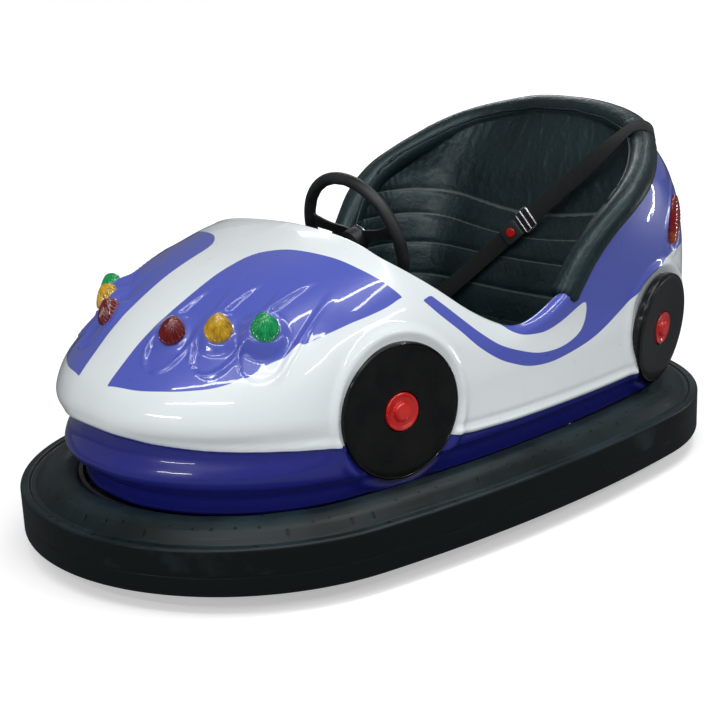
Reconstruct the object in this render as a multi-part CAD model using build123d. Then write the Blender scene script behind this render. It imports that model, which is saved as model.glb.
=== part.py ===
from build123d import *
import os
from math import acos, atan2, cos, degrees, hypot, pi, radians, sin, sqrt, tan

os.makedirs("parts", exist_ok=True)

# Fairground bumper car for two, in millimetres.
# +X is forward, +Y is the car's left, +Z is up; the origin is on the floor under the middle.

# ---- overall sizes and fits ----
LENGTH = 1950.0            # over the rubber bumper
WIDTH = 1180.0
SIDE_R = 3800.0            # plan radius of the bumper's long sides
CORNER_R = 520.0           # plan radius of its rear corners
REAR_R = 1460.0            # plan radius of its rear
ALONG = LENGTH / 1950.0    # places along and across the car are given for these two sizes,
ACROSS = WIDTH / 1180.0    # and move out with the bumper
WIDEST_X = -24.0 * ALONG   # where it is widest
SEAT_GAP = 0.3             # between pieces that are fitted or seated on each other
RUNNING_GAP = 0.06         # radial, between a shaft and its bearing
MOVING_GAP = 6.0           # least gap beside a piece that turns

# ---- rubber bumper and the steel band inside it ----
BUMPER_BOTTOM = 45.0
BUMPER_SIDE_TOP = 150.0
BUMPER_CROWN = 183.0
BUMPER_DEPTH = 138.0       # from the outside in to the steel band
BUMPER_INNER_TOP = 160.0
BUMPER_CORNER = 5.0        # chamfer along the top of its side; twice this at the bottom
CROWN_START = 22.0         # from the groove in to the flat of the crown
CROWN_FLAT = 34.0
GROOVE_IN = 24.0           # inset of the groove between the side rib and the crown
GROOVE_WIDTH = 14.0
GROOVE_DEPTH = 6.0
BAND_THICK = 10.0
BAND_TOP = 166.0
BAND_BOTTOM = 60.0

# ---- floor and frame ----
FLOOR_TOP = 104.0
FLOOR_THICK = 5.0
RAIL_HEIGHT = 38.0
RAIL_WIDTH = 50.0
RAIL_WALL = 4.0
RAIL_Y = 205.0 * ACROSS
CROSS_X = (-760.0 * ALONG, 230.0 * ALONG, 680.0 * ALONG)

# ---- body moulding ----
BODY_WALL = 9.0
CREASE_Z = 437.0           # the crease that runs round the car
COWL_X = 270.0 * ALONG     # front edge of the cockpit opening
COWL_Z = 673.0             # below this the opening's edge slopes down to the door
BODY_SPLIT_X = -100.0 * ALONG   # where the bonnet's sections meet the tail's
CREASE_LAP = 2.0           # bonnet and tail reach this far below the crease
LINER_THICK = 14.0
SKIRT_REAR_X = -560.0 * ALONG   # the blue skirt ends here, at the rear wheel disc

# ---- drive unit under the bonnet ----
DRIVE_X = 450.0 * ALONG
DRIVE_WHEEL_R = 100.0
DRIVE_WHEEL_W = 60.0
DRIVE_AXLE_R = 12.0
TRUNNION_R = 60.0
TRUNNION_WALL = 12.0
FORK_CHEEK = 8.0
FORK_TOP = 10.0
MOTOR_R = 76.0
MOTOR_H = 150.0
BEARING_THICK = 12.0
BEARING_R = 150.0

# ---- rear wheels ----
REAR_WHEEL_X = -480.0 * ALONG
REAR_WHEEL_Y = 330.0 * ACROSS
REAR_WHEEL_R = 80.0
REAR_WHEEL_W = 44.0
REAR_AXLE_R = 10.0
BRACKET_THICK = 8.0

# ---- steering ----
STEER_X = 56.0 * ALONG     # centre of the steering wheel
STEER_Z = 635.0
STEER_TILT = 15.0          # its face leans this far from upright
STEER_OUTER_R = 183.0
STEER_TUBE_R = 15.0
STEER_HUB_R = 34.0
STEER_SHAFT_R = 11.0
COLUMN_R = 21.0

# ---- seat, belt and roll ----
SEAT_TOP = 330.0
SEAT_THICK = 95.0
SEAT_FRONT_X = -130.0 * ALONG
BACK_PAD = 36.0
ROLL_R = 33.0
BELT_WIDTH = 46.0
BELT_THICK = 3.0

# ---- painted wheel discs on the body's sides, and lamps ----
FRONT_DISC_R = 158.0
REAR_DISC_R = 150.0
DISC_THICK = 20.0
LAMP_R = 33.0
LAMP_DOME = 26.0


# ======== plan outline: arcs that run into each other ========

def plan_arcs(nose_x, half_width, tail_x, corner_r):
    """Rows of centre x, centre y, radius, start angle and sweep, anticlockwise from the nose."""
    side_r = SIDE_R - WIDTH / 2 + half_width
    side_cy = half_width - side_r
    reach = nose_x - WIDEST_X
    nose_r = (side_r ** 2 - side_cy ** 2 - reach ** 2) / (2 * (side_r - reach))
    nose_cx = nose_x - nose_r
    rear_r = REAR_R - LENGTH / 2 + tail_x
    rear_cx = rear_r - tail_x
    # the corner's centre lies on both neighbours' circles, less the corner's radius
    rear_inner = rear_r - corner_r
    side_inner = side_r - corner_r
    dx = WIDEST_X - rear_cx
    dist = hypot(dx, side_cy)
    along = (rear_inner ** 2 - side_inner ** 2 + dist ** 2) / (2 * dist)
    off = sqrt(rear_inner ** 2 - along ** 2)
    corner_cx = rear_cx + along * dx / dist + off * side_cy / dist
    corner_cy = along * side_cy / dist - off * dx / dist
    nose_end = atan2(-side_cy, nose_cx - WIDEST_X)
    side_end = atan2(corner_cy - side_cy, corner_cx - WIDEST_X)
    corner_end = atan2(corner_cy, corner_cx - rear_cx)
    return (
        (nose_cx, 0.0, nose_r, -nose_end, 2 * nose_end),
        (WIDEST_X, side_cy, side_r, nose_end, side_end - nose_end),
        (corner_cx, corner_cy, corner_r, side_end, corner_end - side_end),
        (rear_cx, 0.0, rear_r, corner_end, 2 * (pi - corner_end)),
        (corner_cx, -corner_cy, corner_r, -corner_end, corner_end - side_end),
        (WIDEST_X, -side_cy, side_r, -side_end, side_end - nose_end),
    )


def on_arc(row, share):
    cx, cy, r, start, sweep = row
    angle = start + share * sweep
    return (cx + r * cos(angle), cy + r * sin(angle))


def outline_wire(arcs, z):
    edges = []
    for row in arcs:
        points = [(*on_arc(row, share), z) for share in (0, 0.5, 1)]
        edges.append(ThreePointArc(*points).edge())
    return Wire(edges)


def half_width_at(arcs, x):
    """Half the outline's width at x, from the left-hand arc that spans it."""
    for cx, cy, r, start, sweep in (arcs[0], arcs[1], arcs[2], arcs[3]):
        low = cx + r * cos(start + sweep)
        high = cx + r * cos(max(start, 0.0))
        if low <= x <= high:
            return cy + sqrt(r * r - (x - cx) ** 2)
    return 0.0


BUMPER_ARCS = plan_arcs(LENGTH / 2, WIDTH / 2, LENGTH / 2, CORNER_R)


def parallel_arcs(inset):
    return tuple((cx, cy, r - inset, start, sweep) for cx, cy, r, start, sweep in BUMPER_ARCS)


def along_bumper(profile_points):
    """A ring round the car: a section of inset and height, turned about each arc's centre."""
    ring = None
    for cx, cy, r, start, sweep in BUMPER_ARCS:
        plane = Plane(origin=(cx, cy, 0), x_dir=(cos(start), sin(start), 0),
                      z_dir=(sin(start), -cos(start), 0))
        flat = [(r - inset, z) for inset, z in profile_points]
        face = plane * make_face(Polyline(*flat, close=True))
        piece = revolve(face, axis=Axis((cx, cy, 0), (0, 0, 1)), revolution_arc=degrees(sweep))
        ring = piece if ring is None else ring + piece
    return ring


def plan_block(inset, z_low, z_high):
    face = make_face(outline_wire(parallel_arcs(inset), z_low))
    return extrude(face, amount=z_high - z_low, dir=(0, 0, 1))


def save(node, shape, colour):
    shape.label = node
    shape.color = Color(*colour)
    export_step(shape, "parts/%s.step" % node)


BLACK = (0.06, 0.06, 0.07)
STEEL = (0.45, 0.47, 0.5)
WHITE = (0.92, 0.92, 0.94)
BLUE = (0.2, 0.21, 0.6)
RED = (0.75, 0.05, 0.05)
AMBER = (0.85, 0.6, 0.05)
GREEN = (0.05, 0.5, 0.2)


# ======== bumper, band, floor and frame ========

def bumper_tyre():
    """Solid rubber ring: upright side, flat rib, groove, rounded crown, slope down to the band."""
    low_corner = 2 * BUMPER_CORNER
    groove_end = GROOVE_IN + GROOVE_WIDTH
    groove_floor = BUMPER_SIDE_TOP - GROOVE_DEPTH
    crown_start = groove_end + CROWN_START
    crown_end = crown_start + CROWN_FLAT
    return along_bumper((
        (0.0, BUMPER_BOTTOM + low_corner), (low_corner, BUMPER_BOTTOM),
        (BUMPER_DEPTH, BUMPER_BOTTOM), (BUMPER_DEPTH, BUMPER_INNER_TOP),
        (crown_end, BUMPER_CROWN), (crown_start, BUMPER_CROWN),
        (groove_end, BUMPER_SIDE_TOP + BUMPER_CORNER), (groove_end, groove_floor),
        (GROOVE_IN, groove_floor), (GROOVE_IN, BUMPER_SIDE_TOP),
        (BUMPER_CORNER, BUMPER_SIDE_TOP), (0.0, BUMPER_SIDE_TOP - BUMPER_CORNER)))


BAND_OUT = BUMPER_DEPTH + SEAT_GAP
BAND_IN = BAND_OUT + BAND_THICK


def bumper_band():
    """Steel band that the rubber is stretched round."""
    return plan_block(BAND_OUT, BAND_BOTTOM, BAND_TOP) - plan_block(BAND_IN, BAND_BOTTOM, BAND_TOP)


FLOOR_EDGE = BAND_IN + SEAT_GAP
FLOOR_BOTTOM = FLOOR_TOP - FLOOR_THICK
FORK_CHEEK_Y = DRIVE_WHEEL_W / 2 + MOVING_GAP
FORK_OUTER_Y = FORK_CHEEK_Y + FORK_CHEEK
DRIVE_SWING_R = hypot(DRIVE_WHEEL_R, DRIVE_WHEEL_W / 2)
FLOOR_HOLE_R = DRIVE_SWING_R + 2 * MOVING_GAP


def rear_wheel_slot(side):
    length = 2 * (REAR_WHEEL_R + MOVING_GAP)
    width = REAR_WHEEL_W + 2 * MOVING_GAP
    return Pos(REAR_WHEEL_X, side * REAR_WHEEL_Y, FLOOR_TOP) * Box(length, width, 4 * FLOOR_THICK)


def floor_pan():
    pan = plan_block(FLOOR_EDGE, FLOOR_BOTTOM, FLOOR_TOP)
    pan -= Pos(DRIVE_X, 0, FLOOR_TOP) * Cylinder(FLOOR_HOLE_R, 4 * FLOOR_THICK)
    for side in (1, -1):
        pan -= rear_wheel_slot(side)
    return pan


RAIL_TOP = FLOOR_BOTTOM - SEAT_GAP
RAIL_BOTTOM = RAIL_TOP - RAIL_HEIGHT


def chassis_frame():
    """Two box rails and the cross members, welded into one frame under the floor."""
    mid_z = (RAIL_TOP + RAIL_BOTTOM) / 2
    frame = None
    inside = None
    for side in (1, -1):
        rail = Pos(0, side * RAIL_Y, mid_z) * Box(LENGTH, RAIL_WIDTH, RAIL_HEIGHT)
        core = Pos(0, side * RAIL_Y, mid_z) * Box(LENGTH, RAIL_WIDTH - 2 * RAIL_WALL,
                                                 RAIL_HEIGHT - 2 * RAIL_WALL)
        frame = rail if frame is None else frame + rail
        inside = core if inside is None else inside + core
    for x in CROSS_X:
        frame += Pos(x, 0, mid_z) * Box(RAIL_WIDTH, WIDTH, RAIL_HEIGHT)
        inside += Pos(x, 0, mid_z) * Box(RAIL_WIDTH - 2 * RAIL_WALL, WIDTH,
                                         RAIL_HEIGHT - 2 * RAIL_WALL)
    frame -= inside
    return frame & plan_block(FLOOR_EDGE, RAIL_BOTTOM, RAIL_TOP)


# ======== body moulding ========

# height, inset from the bumper's outline at nose, side and tail, radius of the tail's corners
LOWER_LEVELS = (
    (BAND_TOP + SEAT_GAP, 152.0, 144.0, 80.0, 330.0),
    (214.0, 146.0, 140.0, 70.0, 320.0),
    (224.0, 121.0, 122.0, 68.0, 320.0),
    (268.0, 118.0, 121.0, 60.0, 315.0),
    (330.0, 114.0, 125.0, 47.0, 265.0),
    (384.0, 99.0, 129.0, 39.0, 235.0),
    (CREASE_Z, 120.0, 135.0, 35.0, 210.0),
)

# height, inset at side and tail, radius of the tail's corners
TAIL_LEVELS = (
    (CREASE_Z, 135.0, 35.0, 210.0),
    (520.0, 126.0, 37.0, 240.0),
    (600.0, 116.0, 46.0, 290.0),
    (723.0, 104.0, 82.0, 370.0),
    (855.0, 138.0, 172.0, 390.0),
    (930.0, 158.0, 250.0, 375.0),
)

# how far behind the crease's tip, half width and height where the top arc meets the shoulder
# arc, height at the middle
BONNET_STATIONS = (
    (15.0, 44.0, 451.0, 455.0),
    (55.0, 100.0, 480.0, 489.0),
    (115.0, 150.0, 519.0, 541.0),
    (205.0, 220.0, 556.0, 597.0),
    (325.0, 290.0, 599.0, 649.0),
    (443.0, 310.0, 642.0, 682.0),
    (593.0, 310.0, 670.0, 712.0),
    (975.0, 310.0, 585.0, 625.0),
)


def body_arcs(nose_inset, side_inset, tail_inset, corner_r):
    return plan_arcs(LENGTH / 2 - nose_inset, WIDTH / 2 - side_inset,
                     LENGTH / 2 - tail_inset, corner_r)


CREASE_NOSE = LOWER_LEVELS[-1][1]
CREASE_TIP = LENGTH / 2 - CREASE_NOSE
CREASE_ARCS = body_arcs(*LOWER_LEVELS[-1][1:])


def lower_body(inward, below):
    """The sides up to the crease, as plain outlines one over the other."""
    wires = []
    for z, nose, side, tail, corner_r in LOWER_LEVELS:
        arcs = body_arcs(nose + inward, side + inward, tail + inward, corner_r - inward)
        if below and not wires:
            wires.append(outline_wire(arcs, z - below))
        wires.append(outline_wire(arcs, z))
    return Solid.make_loft(wires, ruled=True)


def tail_body(inward):
    """The tail above the crease, behind the split between bonnet and tail."""
    wires = []
    for z, side, tail, corner_r in TAIL_LEVELS:
        if not wires:
            lap = inward + CREASE_LAP
            lapped = body_arcs(CREASE_NOSE + lap, side + lap, tail + lap, corner_r - lap)
            wires.append(outline_wire(lapped, z - CREASE_LAP))
        arcs = body_arcs(CREASE_NOSE + inward, side + inward, tail + inward, corner_r - inward)
        wires.append(outline_wire(arcs, z))
    tail = Solid.make_loft(wires, ruled=True)
    front = Pos(BODY_SPLIT_X + LENGTH, 0, CREASE_Z) * Box(2 * LENGTH, 2 * WIDTH, 2 * LENGTH)
    return tail - front


def bonnet_section(x, shoulder_y, shoulder_z, top_z, inward):
    """A wide arc over the top, two arcs down to the crease, and a short taper below it."""
    half = half_width_at(CREASE_ARCS, x) - inward
    lapped = half - CREASE_LAP
    top = ThreePointArc((x, -shoulder_y, shoulder_z - inward), (x, 0, top_z - inward),
                        (x, shoulder_y, shoulder_z - inward))
    left = TangentArc(top @ 1, (x, half, CREASE_Z), tangent=top % 1)
    right = TangentArc(top @ 0, (x, -half, CREASE_Z), tangent=-(top % 0))
    base = Polyline((x, half, CREASE_Z), (x, lapped, CREASE_Z - CREASE_LAP),
                    (x, -lapped, CREASE_Z - CREASE_LAP), (x, -half, CREASE_Z))
    return Wire(top.edges() + left.edges() + base.edges() + right.edges())


def bonnet_body(inward):
    """The bonnet and the sides of the cockpit, as a loft of upright sections."""
    wires = []
    for behind, shoulder_y, shoulder_z, top_z in BONNET_STATIONS:
        x = CREASE_TIP - behind * ALONG
        if x > COWL_X:
            x -= inward
        wires.append(bonnet_section(x, shoulder_y * ACROSS, shoulder_z, top_z, inward))
    block = Solid.make_loft(wires, ruled=True)
    behind = Pos(BODY_SPLIT_X - LENGTH, 0, CREASE_Z) * Box(2 * LENGTH, 2 * WIDTH, 2 * LENGTH)
    return block - behind


def filled_body(inward, below=0.0):
    return lower_body(inward, below) + bonnet_body(inward) + tail_body(inward)


def side_cut(points, radii, side_low=-WIDTH, side_high=WIDTH):
    """A block across the car whose outline, in x and z, is a rounded polygon."""
    corners = [Vector(x, side_low, z) for x, z in points]
    line = FilletPolyline(*corners, radius=radii, close=True)
    return extrude(make_face(line), amount=side_high - side_low, dir=(0, 1, 0))


# middle of the padded roll on its left half, from its front end to the top of the seat back
ROLL_TABLE = (
    (-252.0, 421.0, 510.0),
    (-300.0, 436.0, 583.0),
    (-362.0, 450.0, 650.0),
    (-440.0, 455.0, 706.0),
    (-515.0, 437.0, 746.0),
    (-584.0, 401.0, 782.0),
    (-645.0, 353.0, 817.0),
    (-696.0, 290.0, 846.0),
    (-730.0, 195.0, 868.0),
    (-745.0, 75.0, 884.0),
)
ROLL_POINTS = [(x * ALONG, y * ACROSS, z) for x, y, z in ROLL_TABLE]
DOOR_VALLEY = (-51.0 * ALONG, 404.0)   # where the slopes before and behind the door's edge meet
DOOR_VALLEY_R = 180.0
DOOR_REAR = (-222.0 * ALONG, 481.0)    # where the door's rear slope turns up to the roll
COWL_R = 60.0
ROLL_EDGE_R = 12.0
SKY = 2 * LENGTH


def cockpit_cut(drop=0.0):
    """All above the cockpit's edge: cowl, low door edge, then up along the roll."""
    roll = [(x, z) for x, y, z in ROLL_POINTS]
    top_x, top_z = roll[-1]
    points = [(COWL_X, SKY), (COWL_X, COWL_Z), DOOR_VALLEY, DOOR_REAR] + roll[:-1]
    points += [(top_x, top_z + ROLL_R / 4), (top_x, SKY)]
    radii = [0.0, COWL_R, DOOR_VALLEY_R] + [ROLL_EDGE_R] * len(roll) + [0.0, 0.0]
    return side_cut([(x, z - drop) for x, z in points], radii)


def smooth_path(points):
    """Straight runs joined by tangent arcs, each as large as its two runs allow."""
    radii = []
    for before, here, after in zip(points, points[1:], points[2:]):
        run_in = Vector(*here) - Vector(*before)
        run_out = Vector(*after) - Vector(*here)
        turn = radians(run_in.get_angle(run_out))
        radii.append(0.45 * min(run_in.length, run_out.length) / tan(turn / 2))
    return FilletPolyline(*points, radius=radii)


def roll_tube(radius):
    right = [(x, -y, z) for x, y, z in reversed(ROLL_POINTS)]
    path = smooth_path(list(ROLL_POINTS) + right)
    section = Plane(origin=path @ 0, z_dir=path % 0) * Circle(radius)
    return sweep(section, path=path)


# side profile of the line where the painted body meets the blue skirt
SILL_TABLE = ((LENGTH, 352.0), (850.0, 349.0), (713.0, 316.0), (500.0, 302.0), (128.0, 251.0),
              (-10.0, 246.0), (-LENGTH, 236.0))
SILL_POINTS = [(x * ALONG, z) for x, z in SILL_TABLE]


def below_sill(lift):
    points = [(x, z + lift) for x, z in SILL_POINTS]
    points += [(-LENGTH, -LENGTH), (LENGTH, -LENGTH)]
    corners = [Vector(x, -WIDTH, z) for x, z in points]
    face = make_face(Polyline(*corners, close=True))
    return extrude(face, amount=2 * WIDTH, dir=(0, 1, 0))


def x_slab(x_low, x_high, z_low=-LENGTH, z_high=LENGTH):
    centre = Pos((x_low + x_high) / 2, 0, (z_low + z_high) / 2)
    return centre * Box(x_high - x_low, 2 * WIDTH, z_high - z_low)


# painted wheel discs: radius, x and z of the middle, how far it stands out of the crease,
# degrees that it turns outwards and leans out at the top
DISCS = (
    ("front", FRONT_DISC_R, 328.0 * ALONG, 345.0, 8.0, 8.0, 0.0),
    ("rear", REAR_DISC_R, -660.0 * ALONG, 330.0, 17.0, -14.0, 6.0),
)
DISC_HUB_R = 44.0
DISC_HUB_THICK = 16.0


def disc_plane(x, z, proud, yaw, lean, side):
    """Plane on the disc's outer face, its z axis pointing out of the car."""
    y = half_width_at(CREASE_ARCS, x) + proud
    level = (sin(radians(yaw)), side * cos(radians(yaw)), 0)
    out = Vector(*level) * cos(radians(lean)) - Vector(0, 0, sin(radians(lean)))
    return Plane(origin=(x, side * y, z), x_dir=Vector(0, 0, 1).cross(out), z_dir=out)


def cylinder_below(plane, radius, thick, top=0.0):
    return plane * Pos(0, 0, top - thick / 2) * Cylinder(radius, thick)


# bonnet lamps: colour, then the middle of the dome on the left side of the car
BONNET_LAMPS = (
    ("red", 710.0, 133.0, 564.0),
    ("amber", 653.0, 230.0, 575.0),
    ("green", 588.0, 312.0, 578.0),
)
LAMP_RISE = 42.0           # degrees, how steeply a lamp looks up
LAMP_SEAT = 16.0
POD_R = 42.0
POD_LENGTH = 150.0
POD_END_R = 16.0


def lamp_plane(x, y, z):
    """Plane on the lamp's seat, its z axis along the lamp."""
    nose_cx = CREASE_ARCS[0][0]
    reach = hypot(x - nose_cx, y)
    flat = cos(radians(LAMP_RISE)) / reach
    out = Vector((x - nose_cx) * flat, y * flat, sin(radians(LAMP_RISE)))
    return Plane(origin=Vector(x, y, z) - out * (LAMP_DOME / 2), z_dir=out)


def lamp_pod(plane):
    """Moulded teardrop behind a lamp: a ball with a cone that runs back into the bonnet."""
    ball = Pos(*(plane.origin - plane.z_dir * POD_R / 2)) * Sphere(POD_R)
    back = Plane(origin=plane.origin - plane.z_dir * POD_R / 2, z_dir=(-1, 0, 0.12))
    cone = back * Pos(0, 0, POD_LENGTH / 2) * Cone(POD_R, POD_END_R, POD_LENGTH)
    flat = plane * Pos(0, 0, POD_R) * Cylinder(2 * POD_R, 2 * POD_R)
    return ball + cone - flat


def lamp_solid(plane):
    """Ribbed dome lamp: a round base with a domed lens."""
    ball_r = (LAMP_R ** 2 + LAMP_DOME ** 2) / (2 * LAMP_DOME)
    ball = Pos(0, 0, LAMP_DOME - ball_r) * Sphere(ball_r)
    lens = ball & Pos(0, 0, LAMP_DOME / 2) * Cylinder(LAMP_R, LAMP_DOME)
    base = Pos(0, 0, -LAMP_SEAT / 2) * Cylinder(LAMP_R, LAMP_SEAT)
    return plane * (base + lens)


TAIL_LAMP_Z = 614.0
TAIL_LAMP_HALF = (34.0, 66.0)
TAIL_LAMP_THICK = 26.0
TAIL_LAMP_PROUD = 1.0      # its face stands this far out of the tail's corner
TAIL_LAMP_YAW = 72.0       # degrees from straight back towards the side
TAIL_LAMP_CORNER = body_arcs(CREASE_NOSE, *TAIL_LEVELS[2][1:])[2]


def tail_lamp_solid(side, grow=0.0):
    corner_x, corner_y, corner_r = TAIL_LAMP_CORNER[:3]
    out = Vector(-cos(radians(TAIL_LAMP_YAW)), side * sin(radians(TAIL_LAMP_YAW)), 0)
    centre = Vector(corner_x, side * corner_y, TAIL_LAMP_Z) + out * corner_r
    plane = Plane(origin=centre, x_dir=(0, 0, 1), z_dir=out)
    face = Ellipse(TAIL_LAMP_HALF[1] + grow, TAIL_LAMP_HALF[0] + grow)
    return plane * Pos(0, 0, TAIL_LAMP_PROUD - TAIL_LAMP_THICK) * extrude(
        face, amount=TAIL_LAMP_THICK)


BODY_OUTER = filled_body(0.0)
LAMP_PLANES = [(colour, [lamp_plane(x * ALONG, side * y * ACROSS, z) for side in (1, -1)])
               for colour, x, y, z in BONNET_LAMPS]
ROLL_CUT = roll_tube(ROLL_R + SEAT_GAP)
COCKPIT_CUT = cockpit_cut()
TO_FLOOR = LOWER_LEVELS[0][0] - FLOOR_TOP - SEAT_GAP


def disc_cuts(deep):
    cuts = None
    for name, radius, *place in DISCS:
        for side in (1, -1):
            cut = cylinder_below(disc_plane(*place, side), radius + SEAT_GAP,
                                 deep + DISC_THICK, DISC_THICK)
            cuts = cut if cuts is None else cuts + cut
    return cuts


DISC_RECESS = disc_cuts(DISC_THICK + SEAT_GAP)


def hollow_body():
    outer = BODY_OUTER
    for colour, planes in LAMP_PLANES:
        for plane in planes:
            outer += lamp_pod(plane)
    shell = outer - filled_body(BODY_WALL, below=BODY_WALL)
    shell -= COCKPIT_CUT
    shell -= ROLL_CUT
    over_rubber = plan_block(-BODY_WALL, 0, BUMPER_CROWN + SEAT_GAP)
    over_rubber -= plan_block(BUMPER_DEPTH, 0, BUMPER_CROWN + SEAT_GAP)
    shell -= over_rubber
    shell -= disc_cuts(3 * DISC_THICK)
    for colour, planes in LAMP_PLANES:
        for plane in planes:
            shell -= cylinder_below(plane, LAMP_R + SEAT_GAP, 3 * POD_R, POD_R)
    for side in (1, -1):
        shell -= tail_lamp_solid(side, SEAT_GAP)
    return shell


def split_body():
    """The blue skirt below the sill line, and the body above it."""
    shell = hollow_body()
    low = below_sill(0.0) & x_slab(SKIRT_REAR_X, LENGTH)
    low_and_gap = below_sill(SEAT_GAP) & x_slab(SKIRT_REAR_X - SEAT_GAP, LENGTH)
    return shell - low_and_gap, shell & low


def main_solid(shape):
    """The piece itself, without the thin scraps that the wheel discs cut off at the sill."""
    return max(shape.solids(), key=lambda solid: solid.volume)


def wheel_disc(plane, radius):
    """Painted disc with a rounded rim and a pocket for its hub."""
    disc = Pos(0, 0, -DISC_THICK / 2) * Cylinder(radius, DISC_THICK)
    outer_edge = disc.edges().filter_by(GeomType.CIRCLE).sort_by(Axis.Z)[-1]
    disc = fillet(outer_edge, DISC_THICK / 3)
    pocket = Pos(0, 0, -DISC_HUB_THICK / 4) * Cylinder(DISC_HUB_R + SEAT_GAP, DISC_HUB_THICK / 2)
    return plane * (disc - pocket)


def disc_hub(plane):
    """Red dish with a raised middle, in the disc's pocket."""
    floor_z = SEAT_GAP - DISC_HUB_THICK / 2
    hub = plane * Pos(0, 0, floor_z + DISC_HUB_THICK / 4) * Cylinder(DISC_HUB_R, DISC_HUB_THICK / 2)
    middle_r = DISC_HUB_R / 2
    return hub + plane * Pos(0, 0, floor_z + DISC_HUB_THICK / 2) * Cylinder(middle_r, DISC_HUB_THICK)


# ======== cockpit: dash panel, side liners, seat, roll and belt ========

INSIDE = BODY_WALL + SEAT_GAP
DASH_THICK = 12.0
DASH_X = COWL_X - 2 * DASH_THICK


def body_filling(inward):
    """The space inside the body moulding, from the floor up, short of the moulding by inward."""
    return filled_body(inward, below=TO_FLOOR)


STEER_CENTRE = Vector(STEER_X, 0, STEER_Z)
STEER_OUT = Vector(-cos(radians(STEER_TILT)), 0, sin(radians(STEER_TILT)))


def steer_plane(out):
    """Plane across the steering axis, out towards the driver from the wheel's middle."""
    return Plane(origin=STEER_CENTRE + STEER_OUT * out, x_dir=(0, 1, 0), z_dir=STEER_OUT)


def steer_cylinder(radius, near, far):
    return steer_plane(far) * Pos(0, 0, (near - far) / 2) * Cylinder(radius, near - far)


def dash_panel(filling):
    panel = filling & x_slab(DASH_X, DASH_X + DASH_THICK)
    panel -= cockpit_cut(SEAT_GAP)
    panel -= DISC_RECESS
    return panel - steer_cylinder(COLUMN_R + SEAT_GAP, 0.0, -LENGTH)


def cockpit_side_liners(filling):
    """Black side panels of the footwell, one each side, in one node."""
    skin = filling - body_filling(INSIDE + LINER_THICK)
    skin = skin & x_slab(SEAT_FRONT_X + SEAT_GAP, DASH_X - SEAT_GAP)
    return skin - cockpit_cut(2 * BODY_WALL) - DISC_RECESS


# inside of the seat's padding: height, x of its back, half width, radius of its rear corners
SEAT_LEVELS = (
    (FLOOR_TOP, -470.0, 384.0, 110.0),
    (400.0, -508.0, 392.0, 140.0),
    (545.0, -560.0, 405.0, 160.0),
    (605.0, -594.0, 415.0, 180.0),
    (722.0, -635.0, 443.0, 220.0),
    (800.0, -672.0, 440.0, 260.0),
    (930.0, -736.0, 428.0, 305.0),
)


def seat_hollow(outward):
    """The space inside the seat's padding, open to the front, as lofted plan outlines."""
    wires = []
    for z, back_x, half, corner_r in SEAT_LEVELS:
        back = back_x * ALONG - outward
        side = half * ACROSS + outward
        r = corner_r + outward
        bend = r * (1 - cos(pi / 4))
        line = [
            Line((0, -side, z), (back + r, -side, z)),
            ThreePointArc((back + r, -side, z), (back + bend, -side + bend, z),
                          (back, -side + r, z)),
            Line((back, -side + r, z), (back, side - r, z)),
            ThreePointArc((back, side - r, z), (back + bend, side - bend, z),
                          (back + r, side, z)),
            Line((back + r, side, z), (0, side, z)),
            Line((0, side, z), (0, -side, z)),
        ]
        wires.append(Wire([edge.edge() for edge in line]))
    return Solid.make_loft(wires, ruled=True)


SEAT_BASE_THICK = 10.0
SEAT_BASE_TOP = SEAT_TOP - SEAT_THICK - SEAT_GAP


def seat_base(filling):
    """Moulded box under the seat: a front panel and a top plate."""
    rear_x = SEAT_LEVELS[0][1] * ALONG - BACK_PAD
    block = filling & x_slab(rear_x, SEAT_FRONT_X, FLOOR_TOP, SEAT_BASE_TOP)
    inner = x_slab(-LENGTH, SEAT_FRONT_X - SEAT_BASE_THICK, 0, SEAT_BASE_TOP - SEAT_BASE_THICK)
    return block - inner - DISC_RECESS


def seat_back(filling):
    """Padded bucket back that wraps round the sides as wings."""
    skin = seat_hollow(BACK_PAD) - seat_hollow(0.0)
    skin = skin & filling & x_slab(-LENGTH, SEAT_FRONT_X, SEAT_BASE_TOP + SEAT_GAP, SKY)
    return skin - cockpit_cut(BODY_WALL) - ROLL_CUT - DISC_RECESS


def seat_cushion():
    return seat_hollow(-SEAT_GAP) & x_slab(-LENGTH, SEAT_FRONT_X, SEAT_BASE_TOP + SEAT_GAP, SEAT_TOP)


# belt: one plane across the roll, from outside the roll to the foot of the seat back
ROLL_BELT_AT = 6           # it crosses the roll half way from this point to the next
BELT_FOOT = (-468.0 * ALONG, -248.0 * ACROSS, 345.0)
BELT_HUG_R = ROLL_R + 2 * SEAT_GAP
BELT_OUTER_ANGLE = 195.0   # degrees round the roll where the belt starts, outside
SLIDER_AT = 392.0          # along the belt's free run, from the roll
SLIDER_SIZE = (38.0, 62.0, 9.0)
BUCKLE_AT = 450.0
BUCKLE_SIZE = (60.0, 56.0, 18.0)
BUTTON_R = 13.0
BUTTON_RISE = 4.0


def belt_plane():
    """Origin in the middle of the roll, x into the car, y up, z along the roll."""
    near, far = ROLL_POINTS[ROLL_BELT_AT], ROLL_POINTS[ROLL_BELT_AT + 1]
    origin = (Vector(*near) + Vector(*far)) / 2
    run = (Vector(*BELT_FOOT) - origin).normalized()
    roll_run = (Vector(*far) - Vector(*near)).normalized()
    across = (roll_run - run * roll_run.dot(run)).normalized()
    up = (Vector(0, 0, 1) - across * across.Z).normalized()
    return Plane(origin=origin, x_dir=up.cross(across), z_dir=across)


BELT_PLANE = belt_plane()


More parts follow.
